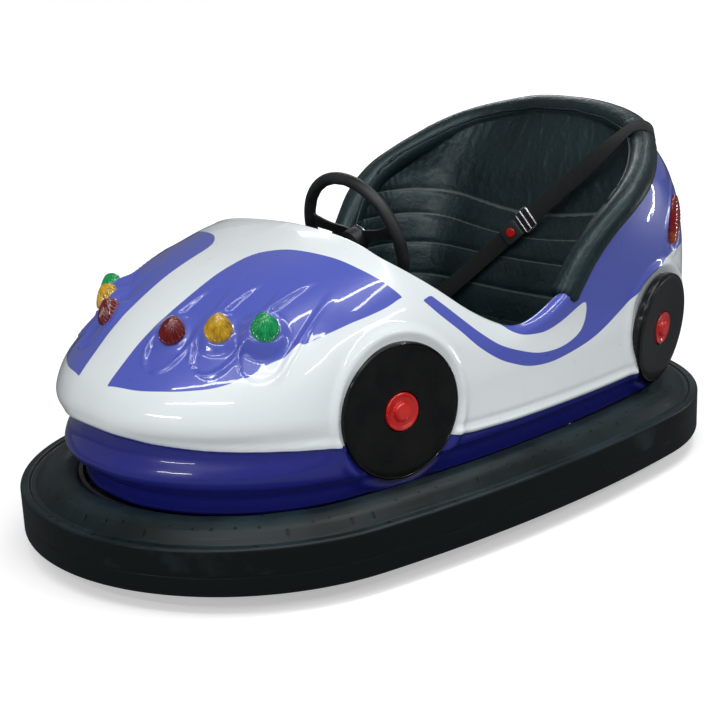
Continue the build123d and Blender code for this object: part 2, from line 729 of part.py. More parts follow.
def belt_lines():
    """Angle where the belt leaves the roll, the point there and the foot, in the belt's plane."""
    foot = BELT_PLANE.to_local_coords(Vector(*BELT_FOOT))
    angle = atan2(foot.Y, foot.X) + acos(BELT_HUG_R / hypot(foot.X, foot.Y))
    return angle, Vector(BELT_HUG_R * cos(angle), BELT_HUG_R * sin(angle)), Vector(foot.X, foot.Y)


BELT_LEAVE, BELT_START, BELT_END = belt_lines()
BELT_RUN = (BELT_END - BELT_START).length
BELT_ANGLE = degrees(atan2(BELT_END.Y - BELT_START.Y, BELT_END.X - BELT_START.X))


def on_belt(along):
    """Location on the free run: x along the belt, y out of its face, z across it."""
    return BELT_PLANE.location * Pos(*BELT_START) * Rot(0, 0, BELT_ANGLE) * Pos(along, 0, 0)


def belt_stretch(near, far):
    box = Box(far - near, BELT_THICK, BELT_WIDTH)
    return on_belt((near + far) / 2) * Pos(0, BELT_THICK / 2, 0) * box


def belt_hug():
    """The part that lies over the roll."""
    inner, outer = BELT_HUG_R, BELT_HUG_R + BELT_THICK
    start, end = radians(BELT_OUTER_ANGLE), BELT_LEAVE
    middle = (start + end) / 2
    at = lambda r, a: (r * cos(a), r * sin(a))
    line = [
        ThreePointArc(at(outer, start), at(outer, middle), at(outer, end)),
        Line(at(outer, end), at(inner, end)),
        ThreePointArc(at(inner, end), at(inner, middle), at(inner, start)),
        Line(at(inner, start), at(outer, start)),
    ]
    face = make_face(Wire([edge.edge() for edge in line]))
    return BELT_PLANE.location * Pos(0, 0, -BELT_WIDTH / 2) * extrude(face, amount=BELT_WIDTH)


def belt_upper():
    end = BUCKLE_AT - BUCKLE_SIZE[0] / 2 - SEAT_GAP
    return belt_hug() + belt_stretch(0.0, end) - ROLL_CUT


def belt_lower():
    return belt_stretch(BUCKLE_AT + BUCKLE_SIZE[0] / 2 + SEAT_GAP, BELT_RUN)


def belt_slider():
    """Steel slide with a slot that the webbing runs through."""
    length, width, thick = SLIDER_SIZE
    slot = Box(length, BELT_THICK + 2 * SEAT_GAP, BELT_WIDTH + 2 * SEAT_GAP)
    return on_belt(SLIDER_AT) * Pos(0, BELT_THICK / 2, 0) * (Box(length, thick, width) - slot)


def belt_buckle():
    length, width, thick = BUCKLE_SIZE
    block = Box(length, thick, width)
    block = fillet(block.edges(), thick / 5)
    pocket = Pos(0, thick / 2, 0) * Rot(90, 0, 0) * Cylinder(BUTTON_R + SEAT_GAP, thick)
    return on_belt(BUCKLE_AT) * Pos(0, BELT_THICK / 2, 0) * (block - pocket)


def belt_button():
    thick = BUCKLE_SIZE[2]
    height = thick / 2 + BUTTON_RISE - SEAT_GAP
    button = Pos(0, SEAT_GAP + height / 2, 0) * Rot(90, 0, 0) * Cylinder(BUTTON_R, height)
    return on_belt(BUCKLE_AT) * Pos(0, BELT_THICK / 2, 0) * button


# ======== running gear ========

FORK_TOP_Z = DRIVE_WHEEL_R * 2 + MOVING_GAP
BEARING_BOTTOM = FORK_TOP_Z + FORK_TOP + SEAT_GAP
BEARING_TOP = BEARING_BOTTOM + BEARING_THICK
MOTOR_BOTTOM = BEARING_TOP + MOVING_GAP
BRIDGE_LEG = 40.0


def upright(x, y, z_low, z_high, radius):
    return Pos(x, y, (z_low + z_high) / 2) * Cylinder(radius, z_high - z_low)


def drive_bearing():
    """Fixed turntable bearing and the bridge that carries it on four legs from the floor."""
    ring = upright(DRIVE_X, 0, BEARING_BOTTOM, BEARING_TOP, BEARING_R)
    reach = BEARING_R + BRIDGE_LEG
    middle = (BEARING_BOTTOM + BEARING_TOP) / 2
    ring += Pos(DRIVE_X, 0, middle) * Box(BRIDGE_LEG, 2 * reach, BEARING_THICK)
    ring += Pos(DRIVE_X, 0, middle) * Box(2 * reach, BRIDGE_LEG, BEARING_THICK)
    for dx, dy in ((1, 0), (-1, 0), (0, 1), (0, -1)):
        foot_x = DRIVE_X + dx * (reach - BRIDGE_LEG / 2)
        foot_y = dy * (reach - BRIDGE_LEG / 2)
        low = FLOOR_TOP + SEAT_GAP
        ring += Pos(foot_x, foot_y, (low + BEARING_TOP) / 2) * Box(BRIDGE_LEG, BRIDGE_LEG,
                                                                 BEARING_TOP - low)
    return ring - upright(DRIVE_X, 0, 0, 2 * BEARING_TOP, TRUNNION_R + RUNNING_GAP)


def drive_fork():
    """Turning fork: top plate, two cheeks, the axle between them and a hollow trunnion."""
    plate = upright(DRIVE_X, 0, FORK_TOP_Z, FORK_TOP_Z + FORK_TOP, MOTOR_R)
    trunnion = upright(DRIVE_X, 0, FORK_TOP_Z, MOTOR_BOTTOM, TRUNNION_R)
    trunnion -= upright(DRIVE_X, 0, 0, 2 * MOTOR_BOTTOM, TRUNNION_R - TRUNNION_WALL)
    fork = plate + trunnion
    low = DRIVE_WHEEL_R - 2 * DRIVE_AXLE_R
    for side in (1, -1):
        fork += Pos(DRIVE_X, side * (FORK_CHEEK_Y + FORK_CHEEK / 2), (low + FORK_TOP_Z) / 2) * Box(
            4 * DRIVE_AXLE_R, FORK_CHEEK, FORK_TOP_Z - low)
    axle = Pos(DRIVE_X, 0, DRIVE_WHEEL_R) * Rot(90, 0, 0) * Cylinder(DRIVE_AXLE_R, 2 * FORK_OUTER_Y)
    return fork + axle


def drive_motor():
    return upright(DRIVE_X, 0, MOTOR_BOTTOM + SEAT_GAP, MOTOR_BOTTOM + MOTOR_H, MOTOR_R)


RIM_SHARE = 0.68           # of a wheel's radius, out to its tyre
BOSS_SHARE = 1.9           # of its bore, out to the boss's edge


def road_wheel(x, y, radius, width, bore):
    """Rubber-tyred wheel: its tyre's corners rounded, its faces dished round the hub."""
    wheel = Cylinder(radius, width)
    deep = width / 5
    wheel = fillet(wheel.edges().filter_by(GeomType.CIRCLE), deep)
    for side in (1, -1):
        dish = Cylinder(radius * RIM_SHARE, deep) - Cylinder(bore * BOSS_SHARE, deep)
        wheel -= Pos(0, 0, side * (width - deep) / 2) * dish
    wheel -= Cylinder(bore + RUNNING_GAP, width)
    return Pos(x, y, radius) * Rot(90, 0, 0) * wheel


def rear_bracket(side):
    """Axle bracket under the floor: two plates and the fixed axle through the wheel."""
    y_wheel = side * REAR_WHEEL_Y
    offset = REAR_WHEEL_W / 2 + MOVING_GAP + BRACKET_THICK / 2
    top = FLOOR_BOTTOM - SEAT_GAP
    low = REAR_WHEEL_R - 2 * REAR_AXLE_R
    parts = Pos(REAR_WHEEL_X, y_wheel, REAR_WHEEL_R) * Rot(90, 0, 0) * Cylinder(
        REAR_AXLE_R, 2 * offset)
    for dy in (offset, -offset):
        parts += Pos(REAR_WHEEL_X, y_wheel + dy, (low + top) / 2) * Box(
            6 * REAR_AXLE_R, BRACKET_THICK, top - low)
    return parts


BATTERY_LENGTH = 200.0
BATTERY_WIDTH = 420.0
BATTERY_HEIGHT = 105.0


def battery_pack():
    centre_x = REAR_WHEEL_X
    return Pos(centre_x, 0, FLOOR_TOP + SEAT_GAP + BATTERY_HEIGHT / 2) * Box(
        BATTERY_LENGTH, BATTERY_WIDTH, BATTERY_HEIGHT)


# ======== steering wheel, column and pedal ========

STEER_RIM_R = STEER_OUTER_R - STEER_TUBE_R
SPOKE_ANGLES = (-90.0, 15.0, 165.0)
SPOKE_WIDTH = 26.0
SPOKE_THICK = 8.0
HUB_BACK = -22.0
HUB_FRONT = 10.0
COLUMN_NEAR = -60.0
SHAFT_FAR = -270.0


def steering_wheel():
    rim = Torus(STEER_RIM_R, STEER_TUBE_R)
    hub = Pos(0, 0, (HUB_BACK + HUB_FRONT) / 2) * Cylinder(STEER_HUB_R, HUB_FRONT - HUB_BACK)
    wheel = rim + hub
    for angle in SPOKE_ANGLES:
        spoke = Pos(STEER_RIM_R / 2, 0, 0) * Box(STEER_RIM_R, SPOKE_WIDTH, SPOKE_THICK)
        wheel += Rot(0, 0, angle) * spoke
    return steer_plane(0) * wheel


def steering_shaft():
    return steer_cylinder(STEER_SHAFT_R, HUB_BACK - SEAT_GAP, SHAFT_FAR)


def steering_column():
    tube = steer_cylinder(COLUMN_R, COLUMN_NEAR, SHAFT_FAR)
    return tube - steer_cylinder(STEER_SHAFT_R + RUNNING_GAP, 0.0, -LENGTH)


PEDAL_X = 112.0 * ALONG
PEDAL_Y = -110.0 * ACROSS
PEDAL_WIDTH = 90.0
PEDAL_LENGTH = 150.0
PEDAL_THICK = 10.0
PEDAL_SLOPE = 40.0


def drive_pedal():
    """Foot pedal: a sloping plate on two side webs that stand on the floor."""
    run = PEDAL_LENGTH * cos(radians(PEDAL_SLOPE))
    rise = PEDAL_LENGTH * sin(radians(PEDAL_SLOPE))
    low = FLOOR_TOP + SEAT_GAP
    side = [(PEDAL_X, low), (PEDAL_X + run, low), (PEDAL_X + run, low + rise),
            (PEDAL_X, low + PEDAL_THICK)]
    return side_cut(side, [0.0] * 4, PEDAL_Y - PEDAL_WIDTH / 2, PEDAL_Y + PEDAL_WIDTH / 2)


body, skirt = split_body()
filling = body_filling(INSIDE)
save("bumper_tyre", bumper_tyre(), BLACK)
save("bumper_band", bumper_band(), STEEL)
save("floor_pan", floor_pan(), STEEL)
save("chassis_frame", chassis_frame(), STEEL)
save("body_shell", main_solid(body), WHITE)
save("lower_skirt", skirt, BLUE)
for name, radius, *place in DISCS:
    for side_name, side in (("left", 1), ("right", -1)):
        disc = wheel_disc(disc_plane(*place, side), radius)
        save("%s_%s_wheel_disc" % (name, side_name), disc, BLACK)
hubs = [disc_hub(disc_plane(*place, side)) for name, radius, *place in DISCS for side in (1, -1)]
save("wheel_disc_hubs", Compound(hubs), RED)
for (colour, planes), paint in zip(LAMP_PLANES, (RED, AMBER, GREEN)):
    save("%s_bonnet_lamps" % colour, Compound([lamp_solid(plane) for plane in planes]), paint)
for side_name, side in (("left", 1), ("right", -1)):
    save("%s_tail_lamp" % side_name, tail_lamp_solid(side), RED)
save("dash_panel", dash_panel(filling), BLACK)
save("cockpit_side_liners", cockpit_side_liners(filling), BLACK)
save("seat_base", seat_base(filling), BLACK)
save("seat_back", seat_back(filling), BLACK)
save("seat_cushion", seat_cushion(), BLACK)
save("padded_roll", roll_tube(ROLL_R), BLACK)
save("belt_upper_webbing", belt_upper(), BLACK)
save("belt_lower_webbing", belt_lower(), BLACK)
save("belt_slider", belt_slider(), STEEL)
save("belt_buckle", belt_buckle(), BLACK)
save("belt_button", belt_button(), RED)
save("drive_bearing", drive_bearing(), STEEL)
save("drive_fork", drive_fork(), STEEL)
save("drive_motor", drive_motor(), STEEL)
save("drive_wheel", road_wheel(DRIVE_X, 0, DRIVE_WHEEL_R, DRIVE_WHEEL_W, DRIVE_AXLE_R), BLACK)
for side_name, side in (("left", 1), ("right", -1)):
    save("rear_%s_bracket" % side_name, rear_bracket(side), STEEL)
    save("rear_%s_wheel" % side_name, road_wheel(REAR_WHEEL_X, side * REAR_WHEEL_Y, REAR_WHEEL_R,
                                                 REAR_WHEEL_W, REAR_AXLE_R), BLACK)
save("battery_pack", battery_pack(), STEEL)
save("steering_wheel", steering_wheel(), BLACK)
save("steering_shaft", steering_shaft(), STEEL)
save("steering_column", steering_column(), STEEL)
save("drive_pedal", drive_pedal(), STEEL)
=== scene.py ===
import bmesh
import bpy
import numpy as np
from mathutils import Matrix


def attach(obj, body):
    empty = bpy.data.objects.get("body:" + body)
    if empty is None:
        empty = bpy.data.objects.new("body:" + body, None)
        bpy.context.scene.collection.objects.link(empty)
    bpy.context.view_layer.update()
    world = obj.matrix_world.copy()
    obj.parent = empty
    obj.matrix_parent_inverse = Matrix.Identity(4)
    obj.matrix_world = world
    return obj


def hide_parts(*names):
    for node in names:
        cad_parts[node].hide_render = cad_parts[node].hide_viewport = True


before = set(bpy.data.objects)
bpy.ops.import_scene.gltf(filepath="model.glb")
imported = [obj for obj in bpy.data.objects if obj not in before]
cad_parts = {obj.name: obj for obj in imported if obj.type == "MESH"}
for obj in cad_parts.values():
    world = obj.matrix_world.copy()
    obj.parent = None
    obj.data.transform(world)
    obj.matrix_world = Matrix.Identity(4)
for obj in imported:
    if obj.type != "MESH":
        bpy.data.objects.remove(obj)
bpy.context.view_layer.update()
scene = bpy.context.scene

# ---- Room: floor, light and camera ----
# A pale seamless floor under long narrow lamps, as in a showroom: three overhead, four at the
# front and left and one behind. The camera stands at the front left and looks a little down.


def wired(tree, shader):
    """add(kind, inputs, **settings), which puts a node in a tree and sets or wires its inputs."""
    def add(kind, inputs=None, **settings):
        node = shader if kind == "shader" else tree.nodes.new("ShaderNode" + kind)
        for key, value in settings.items():
            setattr(node, key, value)
        for key, value in (inputs or {}).items():
            if isinstance(value, bpy.types.NodeSocket):
                tree.links.new(value, node.inputs[key])
            else:
                node.inputs[key].default_value = value
        return node
    return add


def new_finish(name, **sockets):
    """A Principled material with these sockets set, and the function that adds its nodes."""
    material = bpy.data.materials.new(name)
    material.use_nodes = True
    add = wired(material.node_tree, material.node_tree.nodes["Principled BSDF"])
    add("shader", {key.replace("_", " ").title().replace("Ior", "IOR"): value
                   for key, value in sockets.items()})
    return material, add


def ramp(add, factor, *stops):
    """A colour ramp over factor; each stop is a place from 0 to 1 and a grey or a colour."""
    node = add("ValToRGB", {"Fac": factor})
    for element, (place, shade) in zip(node.color_ramp.elements, stops):
        element.position = place
        element.color = (*(shade if isinstance(shade, tuple) else (shade,) * 3), 1)
    return node.outputs["Color"]


def blend(add, factor, under, over):
    """The colour under where factor is 0 and over where it is 1."""
    return add("Mix", {"Factor": factor, 6: under, 7: over}, data_type="RGBA").outputs[2]


def calculate(add, operation, a, b):
    """One arithmetic node."""
    return add("Math", {0: a, 1: b}, operation=operation).outputs[0]


def spread(add, value, low, high, start=0.0, end=1.0):
    """A value between start and end carried to between low and high."""
    return add("MapRange", {"Value": value, "From Min": start, "From Max": end,
                            "To Min": low, "To Max": high}).outputs[0]


def unit(way):
    """Vectors brought to length one."""
    return way / np.maximum(np.linalg.norm(way, axis=-1, keepdims=True), 1e-9)


def place_on(add):
    """Where a shaded point is on its piece, in metres."""
    return add("TexCoord").outputs["Object"]


floor_material, add = new_finish("pale_floor", roughness=0.9)
rays = add("LightPath").outputs
spot = add("VectorMath", {0: place_on(add)}, operation="LENGTH")
fade = spread(add, spot.outputs["Value"], 0.42, 1.0, 1.2, 6.0)
pale = ramp(add, add("TexNoise", {"Scale": 9.0, "Detail": 3.0}).outputs["Fac"], (0, 0.78), (1, 0.82))
add("shader", {"Base Color": blend(add, rays["Is Glossy Ray"], pale, (0.11, 0.12, 0.13, 1)),
               "Emission Color": (1, 1, 1, 1),
               "Emission Strength": calculate(add, "MULTIPLY", rays["Is Camera Ray"], fade)})
FLOOR_REACH = 30
floor_mesh = bpy.data.meshes.new("floor")
floor_mesh.from_pydata([(-FLOOR_REACH, -FLOOR_REACH, 0), (FLOOR_REACH, -FLOOR_REACH, 0),
                        (FLOOR_REACH, FLOOR_REACH, 0), (-FLOOR_REACH, FLOOR_REACH, 0)], [],
                       [(0, 1, 2, 3)])
floor = bpy.data.objects.new("floor", floor_mesh)
floor_mesh.materials.append(floor_material)
scene.collection.objects.link(floor)

# strength of the room's light: straight on, on what it lights, and in what mirrors it
world = bpy.data.worlds.new("room")
scene.world = world
world.use_nodes = True
add = wired(world.node_tree, world.node_tree.nodes["Background"])
rays = add("LightPath").outputs
direct = calculate(add, "MAXIMUM", rays["Is Camera Ray"], rays["Is Transmission Ray"])
indirect = spread(add, rays["Is Glossy Ray"], 0.40, 0.16)
add("shader", {"Color": (1, 1, 1, 1), "Strength": spread(add, direct, indirect, 1.0)})

# name, place, where it points, width and length, power
LAMPS = (
    ("overhead_front", (1.7, 1.1, 3.0), (0.4, 0.1, 0.3), 0.12, 3.2, 22),
    ("overhead_middle", (0.2, 1.0, 3.2), (0.0, 0.1, 0.3), 0.12, 3.2, 25),
    ("overhead_rear", (-1.4, 0.8, 3.1), (-0.4, 0.0, 0.4), 0.12, 3.2, 19),
    ("front_left_tube", (3.2, 1.4, 2.4), (0.4, 0.1, 0.4), 0.1, 2.4, 17),
    ("left_tube", (-0.4, 3.4, 2.4), (-0.2, 0.3, 0.4), 0.1, 2.8, 17),
    ("front_low_tube", (3.6, 0.5, 1.25), (0.8, 0.2, 0.3), 0.05, 1.2, 7),
    ("rear_left_tube", (-1.65, 0.78, 0.50), (-0.6, 0.42, 0.62), 0.42, 0.012, 0.9),
    ("back_right", (-2.4, -2.4, 2.6), (0.0, 0.0, 0.5), 0.4, 1.6, 20),
)
for name, place, target, width, length, power in LAMPS:
    lamp = bpy.data.lights.new(name, "AREA")
    lamp.shape = "RECTANGLE"
    lamp.size, lamp.size_y, lamp.energy = width, length, power
    lamp_object = bpy.data.objects.new(name, lamp)
    towards = unit(np.subtract(target, place))
    beside = unit(np.cross(towards, (0, 0, 1)))
    turn = np.eye(4)
    turn[:3] = np.stack((np.cross(beside, towards), -beside, -towards, place), axis=1)
    lamp_object.matrix_world = Matrix(turn.tolist())
    lamp_object.visible_camera = False
    scene.collection.objects.link(lamp_object)

camera = bpy.data.cameras.new("camera")
camera.sensor_width = 36.0
camera.lens = 71.19
camera_object = bpy.data.objects.new("camera", camera)
camera_object.matrix_world = Matrix(((-0.7482, -0.2097, 0.6294, 2.336),
                                     (0.6622, -0.1779, 0.7279, 2.612),
                                     (-0.0406, 0.9615, 0.2719, 1.317),
                                     (0.0, 0.0, 0.0, 1.0)))
scene.collection.objects.link(camera_object)
scene.camera = camera_object
scene.view_settings.view_transform = "Standard"


# ---- Rubber bumper ----
# One hollow-cored ring of moulded black rubber round the car: a flat outer side, a rib and a
# groove along its top edge and a fat crown. It is pushed over the steel band from below.

# lengths from here on are in millimetres; x of the widest place
LENGTH, WIDTH, WIDEST = 1950.0, 1180.0, -24.0
SIDE_RADIUS, REAR_RADIUS, CORNER_RADIUS = 3800.0, 1460.0, 520.0
BUMPER_LOW, RUBBER_IN = 45.0, 138.3
BUMPER_CORNERS = ((0, BUMPER_LOW), (0, 88), (1.2, 90), (0, 92), (0, 149), (6, 153), (20, 152.5),
                  (25, 145.5), (36, 146), (42, 152), (62, 172), (88, 184), (116, 182), (131, 171),
                  (RUBBER_IN, 163), (RUBBER_IN, 60), (120, BUMPER_LOW))
BUMPER_ROUNDING = (6, 2, 0.9, 2, 4, 2.5, 2, 2, 2, 5, 10, 12, 9, 5, 2, 6, 6)
# points on each arc of the outline: nose, side, tail corner and half of the tail
ARC_POINTS = (60, 60, 40, 20)


def points_at(*coordinates):
    """Points from their coordinates, each a number or an array that is spread to fit."""
    return np.stack(np.broadcast_arrays(*coordinates), axis=-1)


def circle(count):
    """Angles evenly round a circle."""
    return np.linspace(0, 2 * np.pi, count, endpoint=False)


def half_outline(nose_in, side_in, tail_in, corner_r, share):
    """Points on the left half of the car's plan outline, moved in by the three insets.

    Four arcs run into each other: nose, side, tail corner and tail. The whole part of share
    picks the arc and its fraction goes from the arc's start to its end. Each arc's centre
    and angles come from where two circles touch inside each other.
    """
    nose_x, half = LENGTH / 2 - nose_in, WIDTH / 2 - side_in
    tail_x = LENGTH / 2 - tail_in
    side_r = SIDE_RADIUS - side_in
    side_y = half - side_r
    reach = nose_x - WIDEST
    nose_r = (side_r ** 2 - side_y ** 2 - reach ** 2) / (2 * (side_r - reach))
    rear_r = REAR_RADIUS - tail_in
    rear_x = rear_r - tail_x
    rear_inner, side_inner = rear_r - corner_r, side_r - corner_r
    dx = WIDEST - rear_x
    dist = np.hypot(dx, side_y)
    along = (rear_inner ** 2 - side_inner ** 2 + dist ** 2) / (2 * dist)
    off = np.sqrt(rear_inner ** 2 - along ** 2)
    corner_x = rear_x + along * dx / dist + off * side_y / dist
    corner_y = along * side_y / dist - off * dx / dist
    nose_end = np.arctan2(-side_y, nose_x - nose_r - WIDEST)
    side_end = np.arctan2(corner_y - side_y, corner_x - WIDEST)
    corner_end = np.arctan2(corner_y, corner_x - rear_x)
    arcs = ((nose_x - nose_r, 0.0, nose_r, 0.0, nose_end),
            (WIDEST, side_y, side_r, nose_end, side_end),
            (corner_x, corner_y, corner_r, side_end, corner_end),
            (rear_x, 0.0, rear_r, corner_end, np.pi))
    share = np.broadcast_arrays(share, dist)[0]
    arc = np.minimum(share.astype(int), 3)
    centre_x, centre_y, radius, start, end = (
        np.choose(arc, [np.broadcast_to(row[k], share.shape) for row in arcs]) for k in range(5))
    angle = start + (share - arc) * (end - start)
    return points_at(centre_x + radius * np.cos(angle), centre_y + radius * np.sin(angle))


def rounded(corners, radii, steps=6):
    """A polygon with each corner rounded: points on a quadratic curve cut in at that radius."""
    corners, radii = np.array(corners, float), np.array(radii)[:, None]
    back, ahead = (unit(np.roll(corners, way, axis=0) - corners) * radii for way in (1, -1))
    t = np.linspace(0, 1, steps)[None, :, None]
    return (corners[:, None] + back[:, None] * (1 - t) ** 2 + ahead[:, None] * t ** 2).reshape(-1, 2)


def running(line, **ends):
    """Length of a line as it is walked; ends are the points put before or after it."""
    return np.cumsum(np.linalg.norm(np.diff(line, axis=0, **ends), axis=1))


def surface(grid, close_rows=False, close_columns=False):
    """A grid of points as a list, and the corner numbers of the quads between neighbours."""
    index = np.arange(grid[..., 0].size).reshape(grid.shape[:2])
    if close_rows:
        index = np.vstack((index, index[:1]))
    if close_columns:
        index = np.hstack((index, index[:, :1]))
    quads = np.stack((index[:-1, :-1], index[1:, :-1], index[1:, 1:], index[:-1, 1:]), axis=-1)
    return grid.reshape(-1, 3), quads.reshape(-1, 4)


def put_in(name, points, faces, material, body="root", uv=None, marks=None, weld=0.0):
    """A mesh object from points in millimetres, placed in metres, riding on a CAD body."""
    mesh = bpy.data.meshes.new(name)
    mesh.from_pydata((points * 0.001).tolist(), [], faces.tolist())
    if uv is not None:
        corner = np.empty(len(mesh.loops), np.int32)
        mesh.loops.foreach_get("vertex_index", corner)
        layer = mesh.uv_layers.new(name="along")
        layer.data.foreach_set("uv", uv.reshape(-1, 2)[corner].ravel())
    for mark, values in (marks or {}).items():
        layer = mesh.attributes.new(mark, "FLOAT", "POINT")
        layer.data.foreach_set("value", np.zeros(len(points)) + np.ravel(values))
    mesh.polygons.foreach_set("use_smooth", [True] * len(mesh.polygons))
    mesh.materials.append(material)
    mesh.validate()
    obj = bpy.data.objects.new(name, mesh)
    scene.collection.objects.link(obj)
    cleaned = bmesh.new()
    cleaned.from_mesh(mesh)
    if weld:
        bmesh.ops.remove_doubles(cleaned, verts=cleaned.verts, dist=weld * 0.001)
    bmesh.ops.recalc_face_normals(cleaned, faces=cleaned.faces)
    cleaned.to_mesh(mesh)
    cleaned.free()
    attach(obj, body)
    return obj


def noise(add, place, scale, detail, roughness=0.5, distortion=0.0):
    """Cloudy noise from 0 to 1, in lumps of one metre over scale."""
    return add("TexNoise", {"Vector": place, "Scale": scale, "Detail": detail,
                            "Roughness": roughness, "Distortion": distortion}).outputs["Fac"]


def relief(add, height, strength, distance, *under, invert=False):
    """A bump: height times distance in metres, laid over another bump if there is one."""
    return add("Bump", {"Height": height, "Strength": strength, "Distance": distance,
                        **{"Normal": bump for bump in under}}, invert=invert).outputs[0]


shares = np.concatenate([np.linspace(k, k + 1, count, endpoint=k == 3)
                         for k, count in enumerate(ARC_POINTS)])
outer_edge = half_outline(0.0, 0.0, 0.0, CORNER_RADIUS, shares)
ring = np.vstack((outer_edge, outer_edge[-2:0:-1] * (1, -1)))
along_ring = np.roll(ring, -1, axis=0) - np.roll(ring, 1, axis=0)
ring_out = unit(points_at(along_ring[:, 1], -along_ring[:, 0]))
section = rounded(BUMPER_CORNERS, BUMPER_ROUNDING)
section_run, ring_run = (running(line, append=line[:1]) / 1000 for line in (section, ring))
around = ring_run[:, None]
wave = 1.2 * np.sin(9 * around + 2) * np.sin(23 * around) * (section[:, 0] > 110)
bumper_points = np.concatenate((ring[:, None] - ring_out[:, None] * section[:, :1],
                                np.maximum(section[:, 1] + wave, BUMPER_LOW)[..., None]), axis=-1)

rubber, add = new_finish("moulded_black_rubber", specular_ior_level=0.29)
place, uv = place_on(add), add("UVMap", uv_map="along").outputs["UV"]
cloud = noise(add, place, 5.0, 6.0, 0.6)
grit = noise(add, place, 260.0, 4.0, 0.7)
stretched = add("Mapping", {"Vector": uv, "Scale": (2.0, 60.0, 1.0)}).outputs[0]
scuff = noise(add, stretched, 3.0, 5.0)
# upward faces are painted a lighter blue-grey: dust, and a painted sheen of the light from above
up = add("SeparateXYZ", {0: add("NewGeometry").outputs["Normal"]}).outputs["Z"]
dust = calculate(add, "MULTIPLY", ramp(add, up, (0.45, 0.0), (1.0, 1.0)),
                 ramp(add, cloud, (0.40, 0.25), (0.62, 1.0)))
pricks = add("TexVoronoi", {"Vector": uv, "Scale": 17.0, "Randomness": 0.5},
             voronoi_dimensions="2D")
prick = ramp(add, pricks.outputs["Distance"], (0.055, 1.0), (0.075, 0.0))
colour = blend(add, dust, (0.003, 0.006, 0.0062, 1), (0.015, 0.031, 0.036, 1))
colour = blend(add, ramp(add, scuff, (0.60, 0.0), (0.70, 0.55)), colour, (0.020, 0.034, 0.038, 1))
# the vent holes are painted near black: painted shade inside them
colour = blend(add, calculate(add, "MULTIPLY", prick, 0.95), colour, (0.001, 0.001, 0.001, 1))
bump = relief(add, scuff, 0.25, 0.002, relief(add, grit, 0.16, 0.001))
add("shader", {"Base Color": colour, "Roughness": spread(add, cloud, 0.26, 0.55),
               "Normal": relief(add, prick, 0.6, 0.002, bump, invert=True)})

bumper = put_in("rubber_bumper", *surface(bumper_points, True, True), rubber,
                uv=points_at(around, section_run))
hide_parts("bumper_tyre")


# ---- Body moulding ----
# One glass-fibre moulding from nose to tail in white gel coat, with the patches, the side
# flash and the skirt laid in blue. Its edge round the cockpit is rolled over.

MIRROR = np.array((1, -1, 1))
CREASE = 437.0
# where the painted body meets the skirt: x and height
SILL = np.array(((-975, 236), (-10, 246), (128, 251), (500, 302), (626, 315), (744, 324),
                 (815, 333), (851, 343), (870, 353)))
# height, inset at the nose, side and tail, and the tail's corner radius
SIDE_LEVELS = np.array((
    (167, 152, 144, 80, 330), (205, 150, 142, 72, 322), (222, 131, 124, 68, 320),
    (240, 113, 119, 64, 318), (257, 107, 119, 61, 313), (277, 113, 121, 58, 306),
    (304, 127, 124, 52, 288), (328, 128, 126, 47, 268), (346, 117, 127, 44, 258),
    (362, 104, 127, 42, 249), (388, 100, 129, 39, 235), (437, 118, 134, 35, 210),
    (520, 120, 126, 37, 240), (600, 120, 116, 46, 290), (723, 120, 104, 82, 370),
    (855, 120, 138, 172, 390), (930, 120, 158, 250, 375)))
# middle line of the bonnet: x, height, and two powers that shape the section below it
BONNET_LINE = np.array((
    (-120, 620, 3.5, 1.0), (-48, 640, 3.5, 1.0), (70, 678, 3.5, 1.2), (157, 697, 3.5, 1.7),
    (262, 712, 3.5, 2.2), (412, 682, 3.2, 2.1), (530, 648, 3.0, 1.4), (650, 593, 2.5, 1.0),
    (740, 538, 2.2, 1.0), (800, 487, 2.1, 1.0), (856, 437, 2.0, 1.0)))
# ribs of the bonnet and door: where they leave the crease (x) and where they end (x, y, z)
RIBS = np.array((
    (855, 720, 0, 0), (800, 640, 0, 0), (700, 500, 0, 0), (600, 370, 0, 0),
    (500, 262, 0, 712), (425, 270, 110, 709), (355, 278, 205, 702), (300, 276, 300, 678),
    (243, 232, 352, 640), (160, 157, 402, 578), (70, 70, 430, 506), (-48, -48, 446, 444)))
COWL_RIB, DOOR_RIB = 4, 11
# height of the cockpit's edge behind the door's lowest point, by x
EDGE_LINE = np.array((
    (-770, 884), (-745, 880), (-730, 864), (-696, 842), (-645, 813), (-584, 778), (-515, 742),
    (-440, 702), (-362, 646), (-300, 579), (-252, 507), (-222, 487), (-180, 467), (-137, 452),
    (-95, 443), (-48, 444)))
# points of the moulding's grid: rows to the cowl, to the door, to the tail's corner, round it
# and across the tail; points up to the crease and above it, and in a finished row
BONNET_ROWS, DOOR_ROWS, SIDE_ROWS, CORNER_ROWS, TAIL_ROWS = 118, 66, 54, 46, 18
LOW_POINTS, HIGH_POINTS, ROW_POINTS = 60, 71, 134
# rounds of each search for an edge and of the smoothing
ROUNDS = 60


def smooth_line(at, xs, ys):
    """A curve through table points: cubic pieces, their slopes the harmonic mean of each side's."""
    xs, ys = np.asarray(xs, float), np.asarray(ys, float)
    step = np.diff(ys) / np.diff(xs)
    near, far = step[:-1], step[1:]
    same = near * far > 0
    inner = np.where(same, 2 * near * far / np.where(same, near + far, 1.0), 0.0)
    slope = np.concatenate((step[:1], inner, step[-1:]))
    at = np.clip(at, xs[0], xs[-1])
    i = np.clip(np.searchsorted(xs, at, side="right") - 1, 0, len(xs) - 2)
    run = xs[i + 1] - xs[i]
    t = (at - xs[i]) / run
    return ((1 + 2 * t) * (1 - t) ** 2 * ys[i] + t * (1 - t) ** 2 * run * slope[i]
            + t * t * (3 - 2 * t) * ys[i + 1] + t * t * (t - 1) * run * slope[i + 1])


def columns_at(at, table):
    """Every further column of a table, smoothly read at places in its first column."""
    return [smooth_line(at, table[:, 0], column) for column in table.T[1:]]


